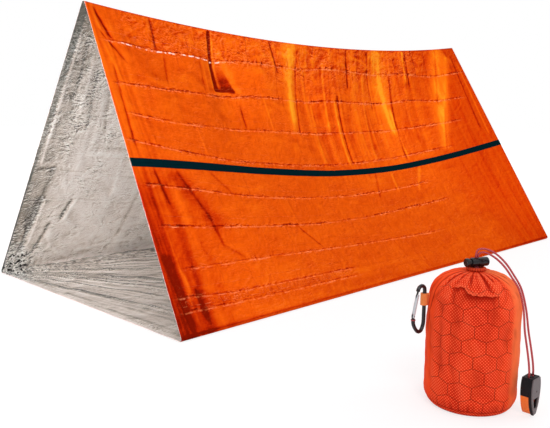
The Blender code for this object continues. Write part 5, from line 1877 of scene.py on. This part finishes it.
@dataclass
class Drawcord:
    """One 4 mm cord: round the mouth, up through the lock, and down in two strands to the whistle."""

    sack: StuffSack
    radius: float = 0.002
    ring_start: float = math.radians(35.0)
    riser_bend: float = 0.0045
    strand_offset: float = 0.0022
    lock_turn: float = math.radians(20.0)
    lock_height: float = 0.2846
    lock_radius: float = 0.009
    whistle_place: tuple[float, float] = (0.0205, -0.1165)
    whistle_top: float = 0.078
    clear: float = 0.0003
    loop_half: float = 0.0085
    loop_at: float = 0.001
    loop_depth: float = 0.0078
    loop_bend: float = 0.004
    front_strand: tuple[Triple, ...] = (
        (0.006, -0.0016, 0.3035), (0.016, -0.0075, 0.3045), (0.031, -0.018, 0.2965),
        (0.045, -0.0295, 0.2825), (0.057, -0.0395, 0.264), (0.0692, -0.049, 0.2425),
        (0.0775, -0.0556, 0.207), (0.0815, -0.059, 0.165), (0.0865, -0.0645, 0.13),
        (0.0892, -0.07, 0.105),
    )
    rear_strand: tuple[Triple, ...] = (
        (0.001, -0.0008, 0.3085), (0.014, -0.002, 0.311), (0.032, -0.0095, 0.3045),
        (0.05, -0.018, 0.288), (0.065, -0.0255, 0.266), (0.0792, -0.0329, 0.24),
        (0.0886, -0.0391, 0.202), (0.094, -0.045, 0.16), (0.099, -0.0525, 0.125),
        (0.1015, -0.058, 0.102),
    )

    def in_world(self, points: Sequence[Vector], turn: float) -> list[Vector]:
        """Moves points from a frame turned about the sack's axis to the shared one."""
        place = Matrix.Translation(self.sack.place) @ Matrix.Rotation(turn, 4, "Z")
        return [place @ Vector(p) for p in points]

    def strand(self, side: int, middle: Sequence[Sequence[float]]) -> list[Vector]:
        """Returns a free strand's route, from the lock's top to the whistle's loop.

        Args:
            side: 1 for the front strand or -1 for the rear.
            middle: its middle points in the sack's frame.

        Returns:
            The route.
        """
        start = Matrix.Rotation(self.lock_turn, 3, "Z") @ Vector((side * self.strand_offset, 0.0, 0.0))
        top = self.lock_height + self.lock_radius
        loop_end = Vector((*self.whistle_place, 0.0)) + Vector((-side * self.loop_half, self.loop_at, 0.0))
        end = Matrix.Rotation(-self.sack.turn, 3, "Z") @ loop_end
        foot = self.whistle_top + self.clear
        route = [Vector((start.x, start.y, top)), Vector((start.x, start.y, top + 0.004))]
        route += [Vector(p) for p in middle]
        route += [Vector((end.x, end.y, foot + 0.009)), Vector((end.x, end.y, foot))]
        fine = [route[0]] + smooth_route(route[1:-1], 0.003) + [route[-1]]
        return self.in_world(fine, self.sack.turn)

    def held(self) -> list[Vector]:
        """Returns the route inside the lock and the hem.

        Returns:
            The route, from one side of the lock's top to the other.
        """
        ring, low = self.sack.hem_ring, self.sack.hem_height
        top = self.lock_height + self.lock_radius - self.clear
        lean = math.sin(self.ring_start)
        turn = (ring * lean - self.strand_offset) / (1 + lean)
        front = (ring - turn) * math.cos(self.ring_start)
        heights = (top, (top * 2 + low) / 3, low + self.riser_bend * 1.4)
        half = [Vector((-self.strand_offset, 0.0, z)) for z in heights]
        for a in arc(math.pi / 2, 6):
            rise = self.riser_bend * (1 - math.sin(a))
            half.append(Vector((-self.strand_offset, -self.riser_bend * (1 - math.cos(a)), low + rise)))
        for a in arc(math.pi / 2 + self.ring_start, 8):
            x = -self.strand_offset - turn + turn * math.cos(a)
            half.append(Vector((x, -front - turn * math.sin(a), low)))
        start = math.atan2(half[-1].y, half[-1].x)
        sweep = (2 * start + math.pi) % (2 * math.pi)
        turns = [start - a for a in arc(sweep, 30)[1:-1]]
        around = [Vector((ring * math.cos(a), ring * math.sin(a), low)) for a in turns]
        return self.in_world(half + around + mirrored(half), self.sack.turn + self.lock_turn)

    def loop(self) -> list[Vector]:
        """Returns the route of the loop that the whistle hangs on.

        Returns:
            The route, from one strand's end to the other's.
        """
        top = self.whistle_top
        low = top - self.loop_depth
        left = [Vector((-self.loop_half, self.loop_at, top))]
        for a in arc(math.pi / 2, 6):
            x = -self.loop_half + self.loop_bend * (1 - math.cos(a))
            left.append(Vector((x, self.loop_at, low + self.loop_bend * (1 - math.sin(a)))))
        place = Vector(self.sack.place) + Vector((*self.whistle_place, 0.0))
        return [p + place for p in left + mirrored(left)]

    def build(self) -> None:
        """Builds the held cord, the loop and the two free strands."""
        finish = BraidedCord().paint()
        Cord("cord_in_hem", self.held()).built("drawcord_held", finish)
        Cord("cord_whistle_loop", self.loop()).built("whistle_cord_loop", finish)
        for name, node, side, middle in (
            ("cord_front_strand", "drawcord_front", 1, self.front_strand),
            ("cord_rear_strand", "drawcord_rear", -1, self.rear_strand),
        ):
            cord = Cord(name, self.strand(side, middle))
            piece = cord.built(node, finish)
            round(cord.length(), 3)
            2 * self.radius
            log.info("%s: %.3f m", name, cord.length())


@dataclass
class WebbingTab:
    """The folded webbing tab in the sack's side seam, with its bar tacks."""

    sack: StuffSack
    width: float = 0.024
    thickness: float = 0.0013
    centre: float = 0.209
    slack: float = 0.002
    clear: float = 0.0008
    rod: float = 0.00375
    off_wall: float = 0.0095
    in_seam: float = 0.004
    tack_out: float = 0.0027
    tack_share: float = 0.8
    stitches: int = 22
    stitch_radius: float = 0.00042
    stitch_shape: Triple = (3.6, 0.9, 0.95)
    stitch_lean: float = math.radians(14.0)

    def middle_line(self) -> list[tuple[float, float]]:
        """Returns the webbing's middle line from above, from the seam round the spine and back.

        Returns:
            Its points, with the sack's axis at 0.
        """
        wall = float(self.sack.radius_at(np.array([self.centre]))[0])
        spine, seam = -wall - self.off_wall, -wall + 0.0008
        reach = self.rod + self.clear + self.thickness / 2
        part = self.thickness / 2 + 0.00015
        fold = spine - self.slack
        front = [
            (seam, -part), (seam - 0.003, -part - 0.0006), (spine + 0.003, -reach + 0.0006), (spine, -reach)
        ]
        turns = [-math.pi / 2 - a for a in arc(math.pi, 16)]
        bend = [(fold + reach * math.cos(a), reach * math.sin(a)) for a in turns]
        return front + bend + [(x, -y) for x, y in reversed(front)]

    def webbing(self) -> None:
        """Builds the band of webbing."""
        line = smooth_route([(x, y, 0.0) for x, y in self.middle_line()], 0.0007)
        along, across = len(line) - 1, 24
        a, b = np.meshgrid(np.arange(along + 1), np.linspace(-0.5, 0.5, across + 1), indexing="ij")
        flat = np.array([tuple(p) for p in line])
        local = np.stack([flat[a, 0], flat[a, 1], self.centre + b * self.width], -1)
        points = local_to_world(local, self.sack.place, self.sack.turn)
        run = np.concatenate([[0.0], np.cumsum(np.linalg.norm(np.diff(flat, axis=0), axis=1))])
        spread = np.stack([run[a], b * self.width], -1)
        band = Sheeting("tab_webbing", points, spread, {}, (-1.0, -1.0, 0.0))
        piece = band.built([Webbing().paint()], Body.SACK)
        thickened(piece, "webbing", self.thickness, 0.0)
        soft = piece.modifiers.new("edges", "BEVEL")
        soft.width, soft.segments, soft.limit_method = 0.0002, 2, "ANGLE"
        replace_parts(piece, "webbing_tab")

    def tack(self, name: str, side: int) -> None:
        """Builds one bar tack as a row of close stitches.

        Args:
            name: the tack's name.
            side: -1 for the front ply or 1 for the back.
        """
        wall = float(self.sack.radius_at(np.array([self.centre]))[0])
        reach = self.rod + self.clear + self.thickness
        slope = (reach - self.thickness) / (self.off_wall + self.in_seam)
        out = self.thickness + slope * (self.in_seam + self.tack_out) + 0.0004
        middle = Vector((-wall - self.tack_out, side * out, self.centre))
        bm = bmesh.new()
        along = Matrix.Rotation(-side * math.atan(slope), 4, "Z")
        for k in range(self.stitches):
            stitch = bmesh.ops.create_uvsphere(bm, u_segments=8, v_segments=6, radius=self.stitch_radius)
            made = stitch["verts"]
            bmesh.ops.scale(bm, vec=Vector(self.stitch_shape), verts=made)
            lean = Matrix.Rotation(self.stitch_lean if k % 2 else -self.stitch_lean, 4, "Y")
            bmesh.ops.transform(bm, matrix=along @ lean, verts=made)
            rise = (k / (self.stitches - 1) - 0.5) * self.width * self.tack_share
            bmesh.ops.translate(bm, vec=middle + Vector((0.0, 0.0, rise)), verts=made)
        self.sack.plain_piece(name, bm, Thread().paint(), f"bar_{name}", Slot.THREAD)

    def build(self) -> None:
        """Builds the webbing and its tacks."""
        self.webbing()
        self.tack("tack_front", -1)
        self.tack("tack_back", 1)


# Finishes of the sack and its fittings


@dataclass(frozen=True)
class Ripstop:
    """Coral ripstop with a dotted weave and a large honeycomb line on its front and back."""

    plain: bool = False
    deep: Triple = (0.34, 0.008, 0.002)
    ground: Triple = (0.68, 0.014, 0.0018)
    body: Triple = (0.94, 0.056, 0.009)
    light: Triple = (1.0, 0.165, 0.066)
    side: Triple = (1.0, 0.2, 0.062)
    cell_width: float = 0.0458
    cell_pitch: float = 0.03
    cell_rise: float = 0.0086
    dot_pitch: float = 0.0062
    thread_pitch: float = 0.0008
    print_middle: float = -17.0
    line: float = 0.0011

    def honeycomb(self, x: Signal, y: Signal) -> Signal:
        """Returns 1 on the honeycomb's lines: upright sides joined by shallow zigzags.

        Args:
            x: places round the sack, in metres.
            y: places up it.

        Returns:
            The lines, 0 to 1.
        """
        rows = y / self.cell_pitch
        odd = (rows.worked("FLOOR") * 0.5).part() * 2.0
        across = (x / self.cell_width + odd * 0.5).part()
        from_side = 0.5 - (across - 0.5).size()
        level = rows.part() * self.cell_pitch
        roof = self.cell_rise * (1.0 - from_side * 2.0)
        slanted = (level - roof).size()
        upright = (from_side * self.cell_width).fall(self.line * 0.35, self.line)
        upright = upright * level.step(self.cell_rise * 0.8, self.cell_rise)
        return upright.most(slanted.fall(self.line * 0.35, self.line))

    def paint(self) -> Material:
        """Builds the material.

        Returns:
            The material.
        """
        paint = Paint("sack_ripstop_plain" if self.plain else "sack_ripstop_cloth")
        flat = paint.place() if self.plain else paint.surface()
        x, y, _ = paint.axes(flat)
        wear = paint.noise(flat, 24.0, 4.0, 0.6)
        thread = 2 * math.pi / self.thread_pitch
        weave = (x * thread).sine() * (y * thread).sine()
        if self.plain:
            colour = paint.blend(((wear - 0.5) * 0.9 + 0.4).held(), self.ground, self.body)
            bumps = paint.bump(weave, 0.00008, 0.6)
            return paint.finished(Base_Color=colour, Roughness=0.7, Specular_IOR_Level=0.06, Normal=bumps)
        # Painted shading of the shell's pleats, folds, ledge and seams
        fold = paint.attribute("tone")
        degrees = x * (180.0 / math.pi / SACK_RADIUS)
        across = (degrees + (360.0 - self.print_middle)).worked("MODULO", 360.0)
        from_front = 180.0 - (across - 180.0).size()
        printed = from_front.fall(50.0, 58.0).most(from_front.step(124.0, 132.0))
        u, v = (x + y) * (math.pi / self.dot_pitch), (x - y) * (math.pi / self.dot_pitch)
        dots = (u.sine() * v.sine()).size().step(0.42, 0.82)
        lines = self.honeycomb(x, y)
        middle = from_front.fall(16.0, 50.0).most(from_front.step(130.0, 164.0))
        patches = paint.noise(paint.stretched(flat, (1.0, 0.6, 1.0), 0.6), 15.0, 3.0, 0.5).step(0.36, 0.7)
        depth = (1.0 - patches * 0.8) * middle
        ground = paint.blend((0.4 + depth * 0.6).held(), self.body, self.ground)
        spots = paint.blend((depth * 0.1).held(), self.light, self.body)
        ground = paint.blend(dots, ground, spots)
        ground = paint.blend(lines * (1.0 - dots * 0.5) * 0.95, ground, self.deep)
        # Painted light on the unprinted sides: the right one lit lighter towards the side colour, the left
        # one the plain body colour, with random wear in it
        lit = (wear - 0.5) * 0.6 + 0.14 + degrees.step(15.0, 60.0) * 0.85
        side = paint.blend(lit.held(), self.body, self.side)
        colour = paint.blend(printed, side, ground)
        # Painted shade in the shell's hollows and painted highlight on its ridges
        colour = paint.blend((fold * -0.85).held(), colour, self.deep)
        colour = paint.blend((fold * 0.42).held(), colour, self.light)
        height = weave * 0.25 + dots * printed * 0.6 - lines * printed * 0.6
        soft = paint.bump(paint.noise(flat, 55.0, 4.0, 0.6, 0.5), 0.0014, 0.6)
        return paint.finished(
            Base_Color=colour, Roughness=0.6 + (wear - 0.5) * 0.2, Specular_IOR_Level=0.02,
            Normal=paint.bump(height, 0.0002, 0.7, soft),
        )


@dataclass(frozen=True)
class HemCloth:
    """The gathered hem's cloth, creased across by its cord."""

    dark: Triple = (0.26, 0.01, 0.004)
    light: Triple = (0.82, 0.085, 0.026)

    def paint(self) -> Material:
        """Builds the material.

        Returns:
            The material.
        """
        paint = Paint("hem_gathered_cloth")
        flat = paint.surface()
        creases = paint.noise(paint.stretched(flat, (6.0, 1.0, 1.0)), 60.0, 4.0, 0.6)
        # Painted shading: darker in the creases and where the ruffle sinks, lighter where it stands out
        share = (creases + paint.attribute("tone") * 0.3).held()
        colour = paint.blend(share, self.dark, self.light)
        return paint.finished(
            Base_Color=colour, Roughness=0.6, Specular_IOR_Level=0.06, Normal=paint.bump(creases, 0.0006, 0.6)
        )


@dataclass(frozen=True)
class OrangeBundle:
    """Crumpled film, packed tight."""

    dark: Triple = (0.4, 0.02, 0.002)
    light: Triple = (0.85, 0.11, 0.01)

    def paint(self) -> Material:
        """Builds the material.

        Returns:
            The material.
        """
        paint = Paint("bundle_crumpled_film")
        inputs = {"Vector": paint.place(), "Scale": 60.0}
        creases = paint.node("ShaderNodeTexVoronoi", {"feature": "DISTANCE_TO_EDGE"}, inputs)
        # Painted shade in the creases
        colour = paint.blend(creases.step(0.0, 0.3), self.dark, self.light)
        bumps = paint.bump(creases, 0.002, 0.5)
        return paint.finished(Base_Color=colour, Roughness=0.4, Metallic=0.5, Normal=bumps)


@dataclass(frozen=True)
class BraidedCord:
    """Red cord with a pale fleck, braided in two directions."""

    dark: Triple = (0.26, 0.012, 0.02)
    body: Triple = (0.56, 0.05, 0.066)
    light: Triple = (0.86, 0.27, 0.26)
    strands: int = 4
    lay: float = 0.005

    def paint(self) -> Material:
        """Builds the material.

        Returns:
            The material.
        """
        paint = Paint("drawcord_braid")
        run = paint.attribute("run")
        turn = paint.attribute("side_y").worked("ARCTAN2", paint.attribute("side_x"))
        one = (run * (2 * math.pi / self.lay) + turn * self.strands).sine()
        two = (run * (2 * math.pi / self.lay) - turn * self.strands).sine()
        braid = (one * two) * 0.5 + 0.5
        flecks = (one * 0.5 + 0.5).step(0.72, 0.95)
        fuzz = paint.noise(paint.place(), 900.0, 2.0)
        # Darker where the braid lies low: painted shade between its strands
        colour = paint.blend(braid, self.dark, self.body)
        colour = paint.blend((flecks * 0.55 + (fuzz - 0.5) * 0.3).held(), colour, self.light)
        return paint.finished(
            Base_Color=colour, Roughness=0.62, Specular_IOR_Level=0.3,
            Normal=paint.bump(braid + fuzz * 0.3, 0.0003, 0.8),
        )


@dataclass(frozen=True)
class Webbing:
    """Light orange woven tape with ribs across."""

    dark: Triple = (0.78, 0.16, 0.03)
    light: Triple = (1.0, 0.33, 0.095)
    rib_pitch: float = 0.0011
    thread_pitch: float = 0.0008

    def paint(self) -> Material:
        """Builds the material.

        Returns:
            The material.
        """
        paint = Paint("tab_woven_tape")
        flat = paint.surface()
        x, y, _ = paint.axes(flat)
        ribs = (x * (2 * math.pi / self.rib_pitch)).sine() * 0.5 + 0.5
        threads = (y * (2 * math.pi / self.thread_pitch)).sine() * 0.5 + 0.5
        # Darker where the ribs and threads lie low: painted shade in the weave
        share = (ribs * 0.45 + threads * 0.25 + paint.noise(flat, 180.0, 3.0) * 0.5).held()
        colour = paint.blend(share, self.dark, self.light)
        return paint.finished(
            Base_Color=colour, Roughness=0.7, Specular_IOR_Level=0.25,
            Normal=paint.bump(ribs * threads, 0.00025, 0.8),
        )


@dataclass(frozen=True)
class Thread:
    """Orange sewing thread with a fine grain."""

    dark: Triple = (0.62, 0.09, 0.02)
    light: Triple = (0.92, 0.22, 0.06)

    def paint(self) -> Material:
        """Builds the material.

        Returns:
            The material.
        """
        paint = Paint("tack_thread")
        grain = paint.noise(paint.place(), 1600.0, 2.0)
        colour = paint.blend(grain, self.dark, self.light)
        return paint.finished(Base_Color=colour, Roughness=0.6, Normal=paint.bump(grain, 0.0002, 0.5))


@dataclass(frozen=True)
class Moulded:
    """Moulded plastic with a fine grain, slight sink marks and lighter scuffs from wear."""

    name: str
    colour: Triple
    scuff: Triple
    rough: float = 0.4
    grain: float = 900.0
    depth: float = 0.00006
    coat: float = 0.0
    gloss: float = 0.2

    def paint(self) -> Material:
        """Builds the material.

        Returns:
            The material.
        """
        paint = Paint(self.name)
        place = paint.place()
        fine = paint.noise(place, self.grain, 3.0, 0.6)
        broad = paint.noise(place, 70.0, 3.0)
        marks = paint.noise(paint.stretched(place, (1.0, 1.0, 0.25), 0.4), 420.0, 4.0, 0.7).step(0.6, 0.78)
        colour = paint.blend((marks * 0.35 + (broad - 0.5) * 0.5).held(), self.colour, self.scuff)
        rough = self.rough + (broad - 0.5) * 0.25 + marks * 0.12
        return paint.finished(
            Base_Color=colour, Roughness=rough, Coat_Weight=self.coat, Specular_IOR_Level=self.gloss,
            Normal=paint.bump(fine + broad * 0.5, self.depth, 0.8),
        )


@dataclass(frozen=True)
class Metal:
    """Drawn metal with fine lines along it and a few scratches."""

    name: str
    colour: Triple
    scuff: Triple
    rough: float = 0.25
    metallic: float = 1.0

    def paint(self) -> Material:
        """Builds the material.

        Returns:
            The material.
        """
        paint = Paint(self.name)
        place = paint.place()
        lines = paint.noise(paint.stretched(place, (1.0, 1.0, 0.06)), 1400.0, 3.0, 0.6)
        marks = paint.noise(place, 260.0, 5.0, 0.7).step(0.62, 0.74)
        colour = paint.blend((lines * 0.3 + marks * 0.4).held(), self.colour, self.scuff)
        rough = self.rough + (lines - 0.5) * 0.15 + marks * 0.1
        return paint.finished(
            Base_Color=colour, Roughness=rough, Metallic=self.metallic, Normal=paint.bump(lines, 0.00003, 0.6)
        )


@dataclass
class LockSpring:
    """The cord lock's spring, built as one fixed coil, though the real one shortens as its plunger is
    pressed.
    """

    across: float = 0.0045
    wire: float = 0.0005
    first: float = 0.0088
    last: float = 0.0217
    turns: int = 5
    turn_steps: int = 24
    wire_sides: int = 8
    travel: float = 0.004
    axis: Triple = (0.906308, -0.422618, 0.0)

    def build(self, finish: Material) -> None:
        """Builds the coil between the plunger's end and the barrel's end wall.

        Args:
            finish: the wire's material.
        """
        low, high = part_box("cord_lock_spring")
        along = Vector(self.axis)
        beside = Vector((-along.y, along.x, 0.0))
        start = Vector((*SACK_PLACE[:2], (low[2] + high[2]) / 2))
        steps = self.turns * self.turn_steps
        route = []
        for k in range(steps + 1):
            turn = 2 * math.pi * self.turns * k / steps
            run = self.first + (self.last - self.first) * k / steps
            rise = Vector((0.0, 0.0, self.across * math.sin(turn)))
            route.append(start + along * run + beside * (self.across * math.cos(turn)) + rise)
        coil = Cord("lock_spring", route, self.wire, self.wire_sides)
        piece = dressed(coil.name, coil.mesh(), finish, Body.SACK, "cord_lock_spring")
        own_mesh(piece)


class Fittings:
    """The lock, carabiner and whistle, which keep their CAD shapes."""

    def build(self) -> None:
        """Gives each node its material."""
        gloss_black = Moulded(
            "lock_gloss_black", (0.004, 0.004, 0.005), (0.014, 0.015, 0.017), 0.2, 500.0, 0.00003, 0.2, 0.4
        )
        satin_black = Moulded("whistle_satin_black", (0.006, 0.006, 0.008), (0.022, 0.024, 0.028), 0.42)
        grey = Moulded("whistle_grey", (0.15, 0.125, 0.128), (0.24, 0.21, 0.21), 0.46)
        orange = Moulded("whistle_orange", (0.95, 0.2, 0.028), (1.0, 0.34, 0.085), 0.36, gloss=0.3)
        coated = Metal("carabiner_anodised_black", (0.006, 0.006, 0.007), (0.05, 0.05, 0.055), 0.28, 0.2)
        bare = Metal("gate_bare_metal", (0.56, 0.57, 0.59), (0.82, 0.83, 0.85), 0.4, 0.3)
        steel = Metal("spring_steel", (0.46, 0.46, 0.47), (0.66, 0.66, 0.67), 0.28)
        pin = Metal("pin_dark_steel", (0.03, 0.03, 0.034), (0.1, 0.1, 0.1), 0.34)
        red = Moulded("ring_red_lacquer", (0.42, 0.06, 0.06), (0.62, 0.16, 0.15), 0.38)
        finishes = {
            "cord_lock_barrel": gloss_black, "cord_lock_plunger": gloss_black,
            "carabiner_body": coated, "carabiner_gate": bare, "carabiner_ring": red, "gate_hinge_pin": pin,
            "gate_latch_pin": pin, "gate_spring": steel, "whistle_face": grey,
            "whistle_frame_plate": satin_black, "whistle_housing": satin_black, "whistle_insert": orange,
        }
        made: dict[str, Material] = {}
        for name, finish in finishes.items():
            if finish.name not in made:
                made[finish.name] = finish.paint()
            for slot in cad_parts[name].material_slots:
                slot.material = made[finish.name]
            log.info("%s: %s", name, finish.name)
        LockSpring().build(made[steel.name])


# Stage, camera and light


@dataclass
class Studio:
    """A white floor, soft light and the photograph's viewpoint."""

    azimuth: float = -45.5
    elevation: float = 8.64
    roll: float = 0.78
    place: Triple = (-2.089, -1.84, 0.58)
    lens: float = 708.0 / 550.0 * 36.0
    floor_size: float = 30.0

    def camera(self) -> None:
        """Sets the camera where the photograph was taken."""
        a, e = math.radians(self.azimuth), math.radians(self.elevation)
        back = Vector((math.sin(a) * math.cos(e), -math.cos(a) * math.cos(e), math.sin(e)))
        right = Vector((math.cos(a), math.sin(a), 0.0))
        roll = Matrix.Rotation(math.radians(self.roll), 3, "Z")
        turn = Matrix((right, back.cross(right), back)).transposed() @ roll
        data = bpy.data.cameras.new("view")
        data.lens, data.sensor_width = self.lens, 36.0
        data.clip_start, data.clip_end = 0.05, 100.0
        camera = shown("view", data)
        camera.matrix_world = Matrix.Translation(self.place) @ turn.to_4x4()
        bpy.context.scene.camera = camera

    def floor(self) -> None:
        """Lays a white floor that keeps a faint shadow."""
        bm = bmesh.new()
        bmesh.ops.create_grid(bm, x_segments=1, y_segments=1, size=self.floor_size / 2)
        bmesh.ops.translate(bm, vec=Vector((0.0, 0.0, -0.0006)), verts=bm.verts)
        mesh = mesh_from("studio_floor", bm)
        paint = Paint("studio_white")
        mesh.materials.append(paint.finished(Base_Color=(0.86, 0.86, 0.86), Roughness=0.9))
        x, y, _ = paint.axes(paint.place())
        far = (x * x + y * y).step(5.0, 20.0)
        glow = paint.node("ShaderNodeEmission", inputs={0: (1.0, 1.0, 1.0), 1: 1.15})
        plain = Signal(paint, paint.tree.nodes["Principled BSDF"].outputs[0])
        seen = paint.node("ShaderNodeLightPath") * (far * 0.4 + 0.6)
        paint.ended(paint.node("ShaderNodeMixShader", inputs={0: seen, 1: plain, 2: glow}), "Material Output")
        shown("studio_floor", mesh)

    def lamp(
        self, name: str, place: Triple, target: Triple, size: float, power: float, spread: float = 180.0
    ) -> None:
        """Adds a square soft lamp, whose light can be held to a beam some degrees wide.

        Args:
            name: the lamp's name.
            place: where it stands.
            target: what it points at.
            size: its side, in metres.
            power: its power, in watts.
            spread: its beam, in degrees.
        """
        data = bpy.data.lights.new(name, "AREA")
        data.energy, data.size, data.spread = power, size, math.radians(spread)
        aim = (Vector(target) - Vector(place)).to_track_quat("-Z", "Y")
        shown(name, data).matrix_world = Matrix.Translation(place) @ aim.to_matrix().to_4x4()

    def sky(self) -> None:
        """Gives the world its soft light, white where the camera sees it."""
        world = bpy.data.worlds.new("studio")
        bpy.context.scene.world = world
        paint = Paint("studio", world)
        paint.tree.nodes.remove(paint.tree.nodes["Background"])
        rise = paint.axes(paint.node("ShaderNodeTexCoord"))[2]
        light = paint.ramp(rise, (0.0, (0.48, 0.48, 0.49)), (0.75, (0.86, 0.86, 0.88)))
        glow = paint.node("ShaderNodeBackground", inputs={0: light})
        seen = paint.node("ShaderNodeBackground", inputs={0: (1.0, 1.0, 1.0)})
        inputs = {0: paint.node("ShaderNodeLightPath"), 1: glow, 2: seen}
        paint.ended(paint.node("ShaderNodeMixShader", inputs=inputs), "World Output")

    def build(self) -> None:
        """Sets up the camera, floor, lamps and world."""
        self.camera()
        self.floor()
        self.sky()
        middle = (0.0, -0.3, 0.35)
        self.lamp("key", (-4.4, -5.2, 6.0), middle, 2.2, 150.0)
        self.lamp("side", (4.2, -3.9, 3.0), middle, 2.4, 54.0)
        self.lamp("back", (0.5, 3.0, 2.6), middle, 2.0, 26.0)
        self.lamp("inside", (-3.0, -0.8, 0.7), (-0.5, 0.42, 0.3), 0.5, 5.8, 46.0)
        bpy.context.scene.view_settings.view_transform = "Standard"


def main() -> None:
    """Builds the scene round the frame."""
    logging.basicConfig(level=logging.INFO, format="%(name)s: %(message)s")
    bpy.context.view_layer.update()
    Studio().build()
    FilmTube().build()
    sack = StuffSack()
    sack.build()
    Drawcord(sack).build()
    WebbingTab(sack).build()
    Fittings().build()


if __name__ == "__main__":
    main()
